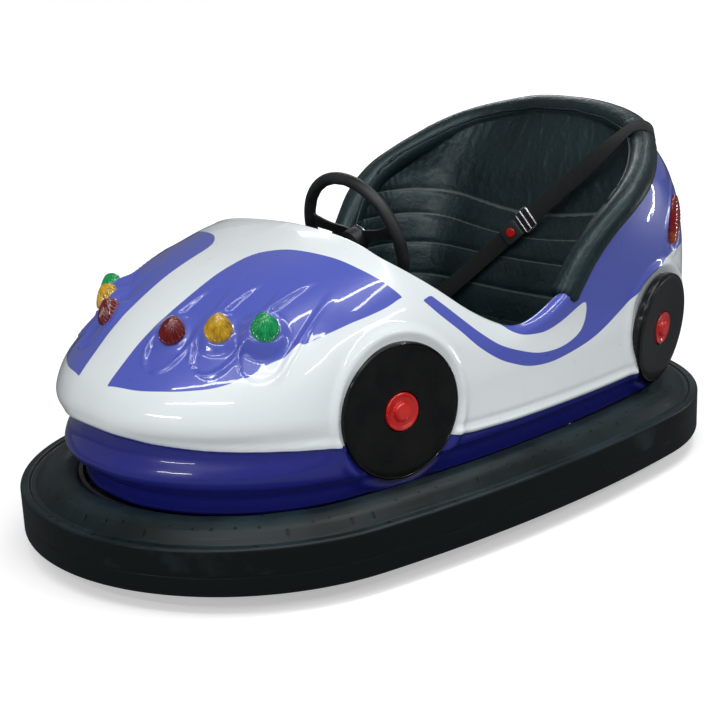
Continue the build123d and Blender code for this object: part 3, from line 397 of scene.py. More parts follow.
def ease(value, low, high):
    """0 below low and 1 above high, with a smooth rise between them."""
    t = np.clip((value - low) / (high - low), 0, 1)
    return t * t * (3 - 2 * t)


def hump(value, middle, half):
    """1 where value is at the middle, falling off as a bell on both sides of it."""
    return np.exp(-((value - middle) / half) ** 2)


def crease_half_width(x):
    """Half the width of the crease at x."""
    line = half_outline(*columns_at(CREASE, SIDE_LEVELS), np.linspace(0, 3, 900))
    return np.interp(x, line[::-1, 0], line[::-1, 1])


def bonnet_height(x, y):
    """Height of the bonnet: its middle line, falling to the crease as a rounded section."""
    top, full, square = columns_at(x, BONNET_LINE)
    share = np.clip(np.abs(y) / np.maximum(crease_half_width(x), 1.0), 0, 1)
    return CREASE + (top - CREASE) * (1 - share ** full) ** (1 / square)


def resample(line, count, close=1.0):
    """count points along a polyline: equal steps, but shorter ones where close is over 1."""
    run = np.append(0, np.cumsum(np.linalg.norm(np.diff(line, axis=0), axis=1) * close))
    at = np.linspace(0, run[-1], count)
    return points_at(*(np.interp(at, run, column) for column in line.T))


def outward(points):
    """Unit normals of a grid of points: the cross product of its two directions."""
    return unit(np.cross(np.gradient(points, axis=0), np.gradient(points, axis=1)))


# rows start on the crease, and share says where along its outline
crease_share = np.linspace(0, 3, 1500)
crease_x = half_outline(*columns_at(CREASE, SIDE_LEVELS), crease_share)[:, 0]
rib_share = np.interp(-RIBS[:, 0], -crease_x, crease_share)
front_rows = np.append(np.linspace(0, COWL_RIB, BONNET_ROWS, endpoint=False),
                       np.linspace(COWL_RIB, DOOR_RIB, DOOR_ROWS))
knots = np.arange(len(RIBS))
share_front = smooth_line(front_rows, knots, rib_share)
share_back = np.concatenate([np.linspace(a, b, count)[1:] for a, b, count in (
    (share_front[-1], 2, SIDE_ROWS), (2, 3, CORNER_ROWS), (3, 4, TAIL_ROWS))])
share_rows = np.append(share_front, share_back)


def wall(share, z):
    """Points of the upright side at each row's share and height."""
    share = np.broadcast_to(share[:, None], z.shape)
    return np.concatenate((half_outline(*columns_at(z, SIDE_LEVELS), share), z[..., None]), -1)


low_z = np.linspace(SIDE_LEVELS[0, 0], CREASE, LOW_POINTS)
lower = wall(share_rows, np.broadcast_to(low_z, (len(share_rows), LOW_POINTS)))

# bonnet and cowl: each row runs along its rib to the rib's end
t = np.linspace(0, 1, HIGH_POINTS)[1:]
start = lower[:len(front_rows), -1]
before_cowl = front_rows <= COWL_RIB
rib_ends = np.column_stack((knots, RIBS[:, 1:]))
ends = np.where(before_cowl[:, None], points_at(*columns_at(front_rows, rib_ends)),
                points_at(*columns_at(front_rows, rib_ends[COWL_RIB:])))
ends[before_cowl, 1] = 0.0
plan = start[:, None, :2] + (ends - start)[:, None, :2] * t[:, None] ** 1.5
height = bonnet_height(plan[..., 0], plan[..., 1])
miss = np.where(before_cowl, 0.0, ends[:, 2] - height[:, -1])
upper_front = np.concatenate((plan, (height + miss[:, None] * t ** 2)[..., None]), axis=-1)

# behind the door each row goes up to the cockpit's edge, which is found by trying
edge_z = np.full(share_back.shape, 600.0)
for _ in range(ROUNDS):
    reach = half_outline(*columns_at(edge_z, SIDE_LEVELS), share_back)[:, 0]
    edge_z = 0.6 * edge_z + 0.4 * smooth_line(reach, *EDGE_LINE.T)
upper_back = wall(share_back, CREASE + (edge_z - CREASE)[:, None] * t)

# closer points where the lamps are, and then the knuckles between the levels smoothed away
body = np.concatenate((lower, np.concatenate((upper_front, upper_back))), axis=1)
middle = 0.5 * (body[:, 1:] + body[:, :-1])
lamp_zone = ease(middle[..., 0], 330, 460) * hump(middle[..., 2], 545, 85)
body = np.stack([resample(row, ROW_POINTS, 1 + 1.2 * zone) for row, zone in zip(body, lamp_zone)])
softness = 0.25 * ease(body[:, 1:-1, 2:], 375, 420)
for _ in range(ROUNDS):
    body[:, 1:-1] += softness * (body[:, 2:] + body[:, :-2] - 2 * body[:, 1:-1])
for _ in range(16):
    mirrored = np.concatenate((body[1:2] * MIRROR, body, body[-2:-1] * MIRROR))
    body += 0.25 * (mirrored[2:] + mirrored[:-2] - 2 * body)
on_middle = np.zeros(body.shape[:2], bool)
on_middle[[0, -1]] = True
on_middle[:BONNET_ROWS + 1, -1] = True
body[on_middle, 1] = 0.0

# wheel discs: radius, x, height, how far the face stands out of the crease, degrees that it
# turns outwards and leans out at the top
DISCS = (("front", 158.0, 328.0, 345.0, 8.0, 8.0, 0.0),
         ("rear", 150.0, -660.0, 330.0, 17.0, -14.0, 6.0))
# bonnet lamps: colour, middle of the dome on the left side
BONNET_LAMPS = (("red", 715.0, 133.0, 558.0), ("amber", 658.0, 230.0, 569.0),
                ("green", 593.0, 313.0, 572.0))
# radius of a lamp, depth of its dome's middle over its seat, how steeply it looks up, and x of
# the upright line that all lamps face away from
LAMP_R, LAMP_SEAT, LAMP_TILT, NOSE_CENTRE = 31.5, 13.0, np.radians(42), 432.0
# tail lamp on the body's rear corner: middle, how it is turned, half width and half height
TAIL_MIDDLE, TAIL_YAW = np.array((-720.0, 405.5, 614.0)), np.radians(72)
TAIL_WIDE, TAIL_TALL = 34.0, 66.0


def disc_axes(x, z, proud, yaw, lean):
    """Centre of a left disc's face, then its level, upward and outward ways."""
    turn, lean = np.radians(yaw), np.radians(lean)
    centre = np.array((x, crease_half_width(x) + proud, z))
    out = np.array((np.sin(turn) * np.cos(lean), np.cos(turn) * np.cos(lean), -np.sin(lean)))
    level = np.array((np.cos(turn), -np.sin(turn), 0))
    return centre, level, np.cross(level, out), out


def lamp_axes(*dome_middle):
    """Middle of a lamp's seat and its three ways: across, up the slope and out."""
    away = unit(np.array(dome_middle) * (1, 1, 0) - (NOSE_CENTRE, 0, 0))
    out = away * np.cos(LAMP_TILT) + np.array((0, 0, np.sin(LAMP_TILT)))
    across_way = unit(np.cross((0, 0, 1.0), out))
    return np.array(dome_middle) - out * LAMP_SEAT, across_way, np.cross(out, across_way), out


def seen_along(points, centre, level, up_way, out):
    """How far points are from centre on each of three ways: level, up and out."""
    return np.moveaxis((points - centre) @ np.transpose((level, up_way, out)), -1, 0)


# a pad with a raised rim runs back from each lamp and fades out
PAD_HALF, PAD_AHEAD, PAD_BEHIND, PAD_DEEP, PAD_RIM = 45, 66, 210, 6.5, 4.5
normal = outward(body)
normal[on_middle, 1] = 0.0
x, y, z = np.moveaxis(body, -1, 0).copy()
push = np.zeros(x.shape)
for colour_name, lamp_x, lamp_y, lamp_z in BONNET_LAMPS:
    ahead = x - lamp_x
    wide = PAD_HALF * np.where(ahead > 0, np.sqrt(np.clip(1 - (ahead / PAD_AHEAD) ** 2, 0, 1)),
                               np.clip(1 + ahead / PAD_BEHIND, 0, 1) ** 0.5)
    inside = np.where((ahead > PAD_AHEAD) | (z < 450), -50, wide - np.abs(y - lamp_y))
    fading = ease(ahead, -200, -40) * ease(z, 448, 486)
    push -= PAD_DEEP * ease(inside, -2, 7) * fading
    push += PAD_RIM * hump(inside, -5, 4.6) * fading
# the skirt lies deeper than the body, which has a lip along its lower edge
sill_z = np.interp(x, *SILL.T)
push -= 5 * ease(sill_z - z, -2, 5) * ease(x, -710, -660)
push += 3.5 * hump(z - sill_z, 7, 5) * ease(x, -640, -540)
push -= 2.0 * hump(z - sill_z, 24, 7) * ease(x, -640, -540) * (1 - ease(x, 480, 640))
body += normal * push[..., None]

# flat seats for the lamps, a hollow with a lip for the tail lamp, and a sunk seat with a
# raised ring for each disc
for colour_name, *dome_middle in BONNET_LAMPS:
    lamp_at = lamp_axes(*dome_middle)
    across, up, depth = seen_along(body, *lamp_at)
    flatten = (1 - ease(np.hypot(across, up), LAMP_R - 2, LAMP_R + 34)) * (np.abs(depth) < 60)
    body += lamp_at[-1] * ((1.0 - depth) * flatten)[..., None]
tail_at = (TAIL_MIDDLE, (np.sin(TAIL_YAW), np.cos(TAIL_YAW), 0), (0, 0, 1),
           np.array((-np.cos(TAIL_YAW), np.sin(TAIL_YAW), 0)))
across, up, depth = seen_along(body, *tail_at)
reach = np.hypot(across / (TAIL_WIDE + 7), up / (TAIL_TALL + 9))
shift = 2.5 * hump(reach, 1.28, 0.14) - 6.0 * (1 - ease(reach, 0.92, 1.12))
body += tail_at[-1] * (shift * (np.abs(depth) < 60))[..., None]
for name, disc_r, *disc_place in DISCS:
    disc_at = disc_axes(*disc_place)
    across, up, depth = seen_along(body, *disc_at)
    reach = np.hypot(across, up) / disc_r
    shift = (8.0 * hump(reach, 1.14, 0.065)
             + (np.minimum(depth, -9.0) - depth) * (1 - ease(reach, 1.03, 1.09)))
    body += disc_at[-1] * (shift * (np.abs(depth) < 120))[..., None]

# the rolled edge: its radius by x, and a flange inside it
ROLLED_EDGE = ((-800, 7), (-300, 7), (-200, 20), (0, 18), (150, 8), (280, 7))
FLANGE, WALL = 22, 6
normal = outward(body)
edge, edge_normal = body[BONNET_ROWS:, -1], normal[BONNET_ROWS:, -1]
over = unit(np.cross(np.gradient(edge, axis=0), edge_normal))
over *= np.sign(np.sum(over * (edge - body[BONNET_ROWS:, -3]), axis=-1, keepdims=True))
lip_r = smooth_line(edge[:, 0], *zip(*ROLLED_EDGE))[:, None]
turn = np.radians(np.linspace(0, 190, 10))[1:, None]
lip = (edge - lip_r * edge_normal)[:, None] + lip_r[:, None] * (
    np.cos(turn) * edge_normal[:, None] + np.sin(turn) * over[:, None])
lip = np.concatenate((edge[:, None], lip, lip[:, -1:] - over[:, None] * FLANGE), axis=1)
lip[[0, -1], :, 1] = 0.0


def distance_to(outline, a, b):
    """Signed distance in millimetres to a closed outline, positive inside, for points (a, b)."""
    best = np.full(np.shape(a), 1e9)
    inside = np.zeros(np.shape(a), bool)
    for (ax, ay), (bx, by) in zip(outline, np.roll(outline, -1, axis=0)):
        run_x, run_y = bx - ax, by - ay
        t = np.clip(((a - ax) * run_x + (b - ay) * run_y) / max(run_x ** 2 + run_y ** 2, 1e-9),
                    0, 1)
        best = np.minimum(best, np.hypot(a - ax - t * run_x, b - ay - t * run_y))
        crosses = (ay > b) != (by > b)
        inside ^= crosses & (a < ax + (b - ay) * run_x / np.where(by == ay, 1e-9, by - ay))
    return np.where(inside, best, -best)


def curve_through(points, steps=10):
    """A smooth line through given points: Catmull-Rom, its ends carried straight on."""
    p = np.asarray(points, float)
    p = np.vstack((2 * p[:1] - p[1:2], p, 2 * p[-1:] - p[-2:-1]))
    a, b, c, d = p[:-3], p[1:-2], p[2:-1], p[3:]
    t = np.linspace(0, 1, steps, endpoint=False)[:, None, None]
    curve = 0.5 * (2 * b + (c - a) * t + (2 * a - 5 * b + 4 * c - d) * t ** 2
                   + (3 * b - a - 3 * c + d) * t ** 3)
    return np.vstack((curve.transpose(1, 0, 2).reshape(-1, p.shape[1]), p[-2:-1]))


# bonnet patch in plan: along the stripe, round the rear end to its tip, and back along the nose
PATCH = np.vstack((
    curve_through(((840, 58), (760, 62), (680, 68), (600, 72), (540, 72), (490, 74), (450, 80),
                   (420, 98), (390, 140), (370, 200), (350, 260), (330, 320), (300, 372),
                   (276, 402)))[:-1],
    curve_through(((276, 402), (330, 402), (400, 395), (470, 382), (545, 358), (615, 326),
                   (670, 312), (712, 288), (750, 252), (785, 205), (818, 140), (840, 58)))[:-1]))
# side flash, seen from the side (x, height): from its blunt front end back along its lower edge,
# over the tail, and forward round the white swoosh below the door's edge
FLASH_END = 545
FLASH = np.vstack((
    curve_through(((222, 574), (185, 535), (135, 490), (85, 443), (25, 402), (-30, 378),
                   (-75, 364), (-130, 357), (-190, 358), (-285, 370), (-360, 387), (-450, 418),
                   (-560, 462), (-675, 513), (-760, 533), (-990, FLASH_END))),
    ((-990, 1100), (2, 1100), (2, 484)),
    curve_through(((-28, 457), (-60, 443), (-95, 437), (-145, 435), (-200, 446), (-245, 462),
                   (-274, 473), (-298, 476), (-303, 450), (-289, 417), (-253, 396), (-190, 384),
                   (-115, 388), (-46, 408), (18, 435), (73, 474), (124, 518), (160, 551),
                   (194, 582)))[:-1]))
# a paint distance that is far outside
BARE = -50


def both_sides(grid):
    """A left-hand grid of points and its mirror image, with their quads."""
    left, faces = surface(grid)
    return np.vstack((left, left * MIRROR)), np.vstack((faces, faces[:, ::-1] + len(left)))


def together(*parts):
    """Parts, each a list of points and one of quads, as one such pair."""
    starts = np.cumsum([0] + [len(points) for points, faces in parts])
    return (np.vstack([points for points, faces in parts]),
            np.vstack([faces + start for (points, faces), start in zip(parts, starts)]))


# the inside of the moulding, from its bottom edge up to the end of the rolled edge
inner = (body - WALL * normal)[:, ::5]
inner[:, -1] = np.vstack(((body - WALL * normal)[:BONNET_ROWS, -1], lip[:, -1]))
inner[[0, -1], :, 1] = 0.0
inner = np.concatenate((body[:, :1], inner), axis=1)
points, faces = together(*map(both_sides, (body, lip, inner)))
px, py, pz = points[:, 0], np.abs(points[:, 1]), points[:, 2]
patch = np.where(pz > 420, distance_to(PATCH, px, py), BARE)
flash = np.where(py > 100 + 200 * (px > -500), distance_to(FLASH, px, pz),
                 np.where(px < -500, pz - FLASH_END, BARE))
marks = {"patch": np.maximum(patch, flash),
         "skirt": np.where(px > -690, np.interp(px, *SILL.T) - pz, BARE)}

gel_coat, add = new_finish("gel_coat", coat_weight=1.0, coat_roughness=0.03, coat_ior=1.5)
place = place_on(add)
patch_edge, skirt_edge = (
    ramp(add, spread(add, add("Attribute", attribute_name=mark).outputs["Fac"], 0.0, 1.0, -1.0, 1.0),
         (0.3, 0.0), (0.7, 1.0)) for mark in ("patch", "skirt"))
grime = noise(add, place, 38.0, 6.0, 0.7)
white = blend(add, noise(add, place, 3.0, 4.0), (0.72, 0.775, 0.80, 1), (0.80, 0.85, 0.87, 1))
colour = blend(add, patch_edge, white, (0.072, 0.098, 0.47, 1))
colour = blend(add, skirt_edge, colour, (0.011, 0.015, 0.215, 1))
low = spread(add, add("SeparateXYZ", {0: place}).outputs["Z"], 0.0, 0.5, 0.34, 0.18)
dirt = calculate(add, "MULTIPLY", low, ramp(add, grime, (0.56, 0.0), (0.78, 0.5)))
bump = relief(add, noise(add, place, 14.0, 2.0), 0.05, 0.01)
add("shader", {"Base Color": blend(add, dirt, colour, (0.05, 0.05, 0.06, 1)),
               "Roughness": spread(add, grime, 0.2, 0.42), "Normal": bump, "Coat Normal": bump})

shell = put_in("body_moulding", points, faces, gel_coat, marks=marks, weld=0.02)
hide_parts("body_shell", "lower_skirt")


# ---- Cockpit lining: side panels, dash and seat box ----
# Black textured plastic sheet inside the moulding, from the floor to just under its rolled
# edge, with a flat dash across the front. The seat box behind it is covered in the same.

# top of the floor, x of the dash and of the panels' back ends, half the dash's width, gap
# between moulding and panels, gap under the bonnet, and the sheet's thickness in metres
FLOOR_Z, DASH_X, PANEL_BACK, DASH_HALF = 104.5, 250.0, -142, 434
PANEL_GAP, DASH_GAP, SHEET = 15, 24, 0.003


def thickened(obj, thickness):
    """A wall in metres given to a sheet."""
    obj.modifiers.new("wall", "SOLIDIFY").thickness = thickness


def paint(finish, *nodes):
    """A finish put on CAD pieces that are shown as they are."""
    for node in nodes:
        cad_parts[node].data.materials.clear()
        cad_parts[node].data.materials.append(finish)


def grained_plastic(name, grain, smear, shades, rough, strength):
    """Moulded plastic: scale of its grain and its smears, two shades, roughness, bump strength."""
    material, add = new_finish(name)
    place = place_on(add)
    smudge = noise(add, place, smear, 5.0)
    add("shader", {"Base Color": ramp(add, smudge, (0.3, shades[0]), (0.75, shades[1])),
                   "Roughness": spread(add, smudge, *rough),
                   "Normal": relief(add, noise(add, place, grain, 3.0), strength, 0.0006)})
    return material


trim = grained_plastic("black_textured_plastic", 420.0, 6.0,
                       ((0.009, 0.010, 0.011), (0.026, 0.029, 0.031)), (0.42, 0.7), 0.3)

# the moulding's rows between dash and seat, told by x a third of the way up
row_x = body[:, ROW_POINTS // 3, 0]
rows = (row_x < DASH_X) & (row_x > PANEL_BACK)
panel = np.stack([resample(row, 40) for row in body[rows] - PANEL_GAP * normal[rows]])
panel[..., 2] -= 6 * (panel[..., 2] > 200)
panel[:, 0, 2] = FLOOR_Z
liners = put_in("side_panels", *both_sides(panel), trim)
thickened(liners, SHEET)
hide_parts("cockpit_side_liners")

dash_y = np.linspace(-DASH_HALF, DASH_HALF, 61)
dash_top = bonnet_height(np.full(61, DASH_X + 10), dash_y) - DASH_GAP
dash_z = FLOOR_Z + (dash_top - FLOOR_Z)[:, None] * np.linspace(0, 1, 24)
dash_x = DASH_X - 14 * hump(dash_z, 600, 60)
dash = put_in("dash", *surface(points_at(dash_x, dash_y[:, None], dash_z)), trim)
thickened(dash, SHEET)
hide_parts("dash_panel")
paint(trim, "seat_base")


# ---- Wheel discs and hubs ----
# Dummy wheels: spun discs with a domed face and a rolled rim in black gloss, screwed to the
# moulding, with a red dished cap in the middle.


def turned(profile, count=96):
    """A profile of radius and height turned about the z axis, as a grid of points."""
    radius, level = np.transpose(profile)
    angle = circle(count)[:, None]
    return points_at(radius * np.cos(angle), radius * np.sin(angle), level)


def set_on(points, centre, *ways):
    """Points carried from their own axes to three ways through centre."""
    return centre + points @ np.array(ways)


def soft_line(corners, radii):
    """An open profile with its inner corners rounded in six points each."""
    return np.vstack((corners[0], rounded(corners, radii)[6:-6], corners[-1]))


# the two sides of the car, and what a left-hand part is multiplied by there
SIDES = (("left", np.array((1, 1, 1))), ("right", MIRROR))

black_gloss, add = new_finish("black_gloss", coat_weight=0.35, coat_roughness=0.05,
                              specular_ior_level=0.22)
haze = noise(add, place_on(add), 12.0, 6.0, 0.65)
bump = relief(add, haze, 0.04, 0.004)
add("shader", {"Base Color": ramp(add, haze, (0.35, (0.003, 0.003, 0.0035)),
                                  (0.75, (0.010, 0.0095, 0.009))),
               "Roughness": spread(add, haze, 0.16, 0.45), "Normal": bump, "Coat Normal": bump})
red_gloss, add = new_finish("red_gloss", coat_weight=0.8, coat_roughness=0.06)
haze = noise(add, place_on(add), 30.0, 5.0)
add("shader", {"Base Color": ramp(add, haze, (0.3, (0.50, 0.004, 0.004)), (0.8, (0.66, 0.015, 0.010))),
               "Roughness": spread(add, haze, 0.2, 0.4)})

hub_profile = soft_line(((0.01, -6.5), (44, -6.5), (44, 0), (40, 1.5), (34, -3.5), (24, -4.5),
                         (20.5, 5), (15, 7.5), (0.01, 8)), (0, 0.5, 2.5, 3, 4, 3, 3, 4, 0))
hub_parts = []
for name, disc_r, *disc_place in DISCS:
    disc_at = disc_axes(*disc_place)
    disc_profile = soft_line(((0.01, -30), (disc_r - 8, -30), (disc_r, -24), (disc_r, -3),
                              (disc_r - 11, 0.5), (60, -2.5), (47, -2.5), (45, -7), (0.01, -7)),
                             (0, 6, 5, 7, 10, 8, 2, 2, 0))
    for side_name, flip in SIDES:
        disc_grid = set_on(turned(disc_profile), *disc_at) * flip
        disc = put_in(f"{name}_{side_name}_disc", *surface(disc_grid, True), black_gloss, weld=0.05)
        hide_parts(f"{name}_{side_name}_wheel_disc")
        hub_parts.append(surface(set_on(turned(hub_profile, 64), *disc_at) * flip, True))
hubs = put_in("disc_caps", *together(*hub_parts), red_gloss, weld=0.05)
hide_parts("wheel_disc_hubs")


# ---- Bonnet lamps ----
# Moulded lenses with ribs down a pointed dome, over a bright reflector. Each sits in a hollow
# of the bonnet on a black rubber seal.

# height of the dome, how far its point leans, its ribs' number and height, level of its foot
DOME_TALL, DOME_LEAN, DOME_RIBS, RIB_HIGH, LENS_FOOT = 32.5, 15, 22, 0.09, -6.0
# colour of each pair of lenses where it is brightest
LENSES = {"red": (0.19, 0.003, 0.005), "amber": (0.74, 0.42, 0.012), "green": (0.004, 0.42, 0.12)}


def egg(points):
    """Points squeezed to an egg outline: narrower and longer up the slope."""
    up = np.clip(points[..., 1:2] / LAMP_R, 0, 1.2)
    return points * np.concatenate((1 - 0.24 * up ** 1.3, 1 + 0.10 * up, 1 + 0 * up), axis=-1)


# a blunt cone whose radius carries ribs, its point drawn back up the slope
run = np.linspace(0, 1, 30)
radius = LAMP_R * (1 - run ** 1.75) ** 0.68
radius[-1] = 0.01
angle = circle(144)[:, None]
ribbed = radius * (1 + RIB_HIGH * np.cos(DOME_RIBS * angle) * ease(run, 0.05, 0.2) * (1 - run ** 6))
dome = points_at(ribbed * np.cos(angle), ribbed * np.sin(angle) + DOME_LEAN * run ** 1.4,
                 DOME_TALL * run)
foot = dome[:, :1] * (1, 1, 0) + (0, 0, LENS_FOOT)
dome = egg(np.concatenate((foot * (0.001, 0.001, 1), foot, dome), axis=1))
seal_profile = rounded(((LAMP_R - 2, -10), (LAMP_R + 1.6, -10), (LAMP_R + 1.6, -1),
                        (LAMP_R - 2, -1)), (1, 1, 1.2, 1))
seal = egg(turned(seal_profile, 72))
cup = egg(turned(soft_line(((0.01, -4), (12, -3), (27, 7), (LAMP_R - 4, 7.5)), (0, 8, 3, 0)), 72))

reflector, add = new_finish("lamp_reflector", metallic=1.0)
facets = add("TexVoronoi", {"Vector": place_on(add), "Scale": 240.0}).outputs["Distance"]
add("shader", {"Base Color": ramp(add, facets, (0.0, 0.9), (1.0, 0.7)),
               "Roughness": ramp(add, facets, (0.0, 0.12), (1.0, 0.3)),
               "Normal": relief(add, facets, 0.6, 0.002)})
seal_parts, cup_parts = [], []
for colour_name, *dome_middle in BONNET_LAMPS:
    lens_finish, add = new_finish(f"{colour_name}_lens", ior=1.49, coat_weight=1.0,
                                  coat_roughness=0.04, transmission_weight=0.12)
    swirl = noise(add, place_on(add), 70.0, 4.0)
    shade = LENSES[colour_name]
    dark = tuple(0.45 * value for value in shade)
    add("shader", {"Base Color": ramp(add, swirl, (0.3, dark), (0.65, shade)),
                   "Roughness": ramp(add, swirl, (0.3, 0.06), (0.8, 0.14)),
                   "Normal": relief(add, swirl, 0.08, 0.002)})
    lamp_at = lamp_axes(*dome_middle)
    lens_parts = [surface(set_on(dome, *lamp_at) * flip, True) for side_name, flip in SIDES]
    seal_parts += [surface(set_on(seal, *lamp_at) * flip, True, True) for side_name, flip in SIDES]
    cup_parts += [surface(set_on(cup, *lamp_at) * flip, True) for side_name, flip in SIDES]
    lens = put_in(f"{colour_name}_lenses", *together(*lens_parts), lens_finish, weld=0.06)
    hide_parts(f"{colour_name}_bonnet_lamps")
seals = put_in("lamp_seals", *together(*seal_parts), trim)
cups = put_in("lamp_reflectors", *together(*cup_parts), reflector, weld=0.06)


# ---- Tail lamps ----
# An upright almond lens each side, red above and amber below, with level ribs inside, set in
# a hollow of the tail.
tail_finish, add = new_finish("tail_lens", coat_weight=1.0, coat_roughness=0.03, ior=1.49,
                              transmission_weight=0.25)
place = place_on(add)
split = spread(add, add("SeparateXYZ", {0: place}).outputs["Z"], 0.0, 1.0, 0.582, 0.588)
speck = add("TexVoronoi", {"Vector": place, "Scale": 190.0}).outputs["Distance"]
colour = blend(add, split, (0.62, 0.12, 0.01, 1), (0.36, 0.004, 0.006, 1))
colour = blend(add, ramp(add, speck, (0.1, 0.0), (0.6, 0.6)), colour, (0.10, 0.004, 0.004, 1))
add("shader", {"Base Color": colour, "Roughness": ramp(add, speck, (0.0, 0.06), (1.0, 0.2))})

# rings of the lens, from its middle to its edge and back to its foot: share of the almond
angle = circle(120)[:, None]
run = np.append(np.linspace(0, 1, 24), (1.0, 1.0))
across = TAIL_WIDE * np.sin(angle) * (0.62 + 0.38 * np.abs(np.sin(angle)) ** 0.6) * run
up = TAIL_TALL * np.cos(angle) * run
bulge = 1 + 9 * (1 - run ** 2.6) + 0.6 * np.cos(up / TAIL_TALL * 40) * (run < 0.9)
bulge[:, -2:] = (-6.0, -12.0)
tail_grid = points_at(across, up, bulge)
tail_grid[:, 0, :2] *= 0.001
tail_grid = set_on(tail_grid, *tail_at)
for side_name, flip in SIDES:
    tail = put_in(f"{side_name}_tail_lens", *surface(tail_grid * flip, True), tail_finish, weld=0.05)
    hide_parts(f"{side_name}_tail_lamp")


# ---- Padded seat back ----
# Black leatherette over foam on the inside of the tub, wrapping round both sides as wings.
# Level seams divide the lower part into channels; above them it is loose and creased.

# inside of the padding: height, x of its back, half width, radius of its rear corners
SEAT_LEVELS = np.array(((236, -474, 383, 110), (400, -508, 391, 140), (545, -558, 404, 160),
                        (605, -592, 414, 180), (722, -633, 441, 220), (800, -670, 438, 260),
                        (930, -735, 426, 305)))
# seams across the back: height at the middle and out at the sides
SEAMS = ((236, 236), (400, 408), (486, 498), (545, 582), (604, 650))
# its lowest level, x of the wings' front ends, and the shares of a level at which the wing
# and then the corner end
SEAT_LOW, WING_FRONT, WING_END, CORNER_END = 236, -132.0, 0.4, 0.75
# left half of the roll's middle line, from its front end to the back; it bends round ROLL_X
ROLL_LINE = np.array(((-234, 424, 484), (-300, 436, 583), (-362, 450, 650), (-440, 455, 706),
                      (-515, 437, 746), (-584, 401, 782), (-645, 353, 817), (-696, 290, 846),
                      (-730, 195, 868), (-745, 75, 884)))
# radius of the roll, its rings and the points round each
ROLL_X, ROLL_R, ROLL_RINGS, ROLL_AROUND = -300, 35.0, 300, 56


def crumple(a, b, seed, waves=9, finest=6.0):
    """Creases from -1 to 1: waves of random direction and length, folded so that they peak."""
    draw = np.random.default_rng(seed)
    total = np.zeros(np.broadcast(a, b).shape)
    for k in range(waves):
        way, phase = draw.uniform(0, 2 * np.pi, 2)
        rate = draw.uniform(1.0, finest)
        wave_at = rate * (a * np.cos(way) + b * np.sin(way)) + phase
        total += (1 - np.abs(np.sin(wave_at + 0.6 * np.sin(0.7 * wave_at)))) ** 2 / rate ** 0.5
    return total / waves * 2 - 0.6


def seat_surface(share, z):
    """Left half of the seat's inside: a wing, a rounded corner and half of the flat back."""
    back, half, corner = columns_at(z, SEAT_LEVELS)
    wing = np.clip(share / WING_END, 0, 1)
    bend = np.clip((share - WING_END) / (CORNER_END - WING_END), 0, 1) * np.pi / 2
    rest = np.clip((share - CORNER_END) / (1 - CORNER_END), 0, 1)
    px = WING_FRONT + (back + corner - WING_FRONT) * wing - corner * np.sin(bend)
    py = half - corner * (1 - np.cos(bend)) - (half - corner) * rest
    return points_at(px, py, z)


def lay_over(points, line, radius):
    """Points nearer to a line than radius are moved straight out from it to that radius."""
    flat = points.reshape(-1, 3)
    gap = flat[:, None] - line[None]
    nearest = line[np.argmin(np.sum(gap ** 2, axis=-1), axis=1)]
    off = flat - nearest
    far = np.maximum(np.linalg.norm(off, axis=1, keepdims=True), 1e-6)
    return (nearest + off * np.maximum(radius / far, 1)).reshape(points.shape)


leatherette, add = new_finish("black_leatherette", specular_ior_level=0.5, coat_weight=0.25,
                              coat_roughness=0.25, specular_tint=(0.72, 0.96, 1, 1))
place = place_on(add)
cells = add("TexVoronoi", {"Vector": place, "Scale": 620.0}, feature="DISTANCE_TO_EDGE")
grain = ramp(add, cells.outputs["Distance"], (0.0, 0.0), (0.25, 1.0))
folds = noise(add, place, 34.0, 5.0, distortion=1.2)
cloud = noise(add, place, 4.5, 5.0)
near_seam = calculate(add, "PINGPONG", add("Attribute", attribute_name="seam").outputs["Fac"], 0.5)
# the seams are painted lighter: the thread, and a painted highlight where light catches the seam's
# edge
thread_and_highlight = ramp(add, near_seam, (0.016, 1.0), (0.03, 0.0))
colour = ramp(add, cloud, (0.3, (0.0030, 0.0085, 0.0105)), (0.72, (0.0075, 0.0205, 0.025)))
colour = blend(add, calculate(add, "MULTIPLY", thread_and_highlight, 0.85), colour, (0.075, 0.090, 0.085, 1))
add("shader", {"Base Color": colour, "Roughness": spread(add, cloud, 0.34, 0.52),
               "Normal": relief(add, folds, 0.50, 0.006, relief(add, grain, 0.22, 0.0006))})

# the padding ends at the cockpit's edge on the wings and under the roll behind them
share = np.linspace(0, 1, 170)
roll_back = ROLL_LINE[::-1]
roll_bearing = np.arctan2(roll_back[:, 1], ROLL_X - roll_back[:, 0])
top = np.full(share.shape, 600.0)
for _ in range(ROUNDS):
    at_x, at_y = seat_surface(share, top)[:, :2].T
    under_roll = np.interp(np.arctan2(at_y, ROLL_X - at_x), roll_bearing, roll_back[:, 2])
    top = 0.6 * top + 0.4 * np.where(at_x > -252, smooth_line(at_x, *EDGE_LINE.T) - 20,
                                     under_roll + 16 * ease(-at_x, 262, 330) - 4)

# channels puffed between the seams, creases over them, and pleats under the roll
share, top = share[:, None], top[:, None]
z = SEAT_LOW + (top - SEAT_LOW) * np.linspace(0, 1, 96)
inner = seat_surface(share, z)
seat_normal = -outward(inner)
seams = [low + (high - low) * (1 - ease(share, 0.5, 1.0)) for low, high in SEAMS] + [top + 10]
count, puff = np.zeros(z.shape), np.zeros(z.shape)
for low, high, tall in zip(seams, seams[1:], (5.0, 5.0, 5.0, 5.0, 6.0)):
    channel = np.clip((z - low) / (high - low), 0, 1)
    count += channel
    puff += np.where((channel > 0) & (channel < 1), tall * (1 - np.abs(2 * channel - 1) ** 5), 0)
loose = ease(z - seams[4], 0, 60)
puff += 8.0 * crumple(share * 14.4, z / 80, 4, 12, 8.0) * loose
puff += 1.5 * crumple(share * 20, z / 60, 9) * (1 - loose)
pleats = np.abs(np.sin(share * 130 + z / 70)) ** 1.5
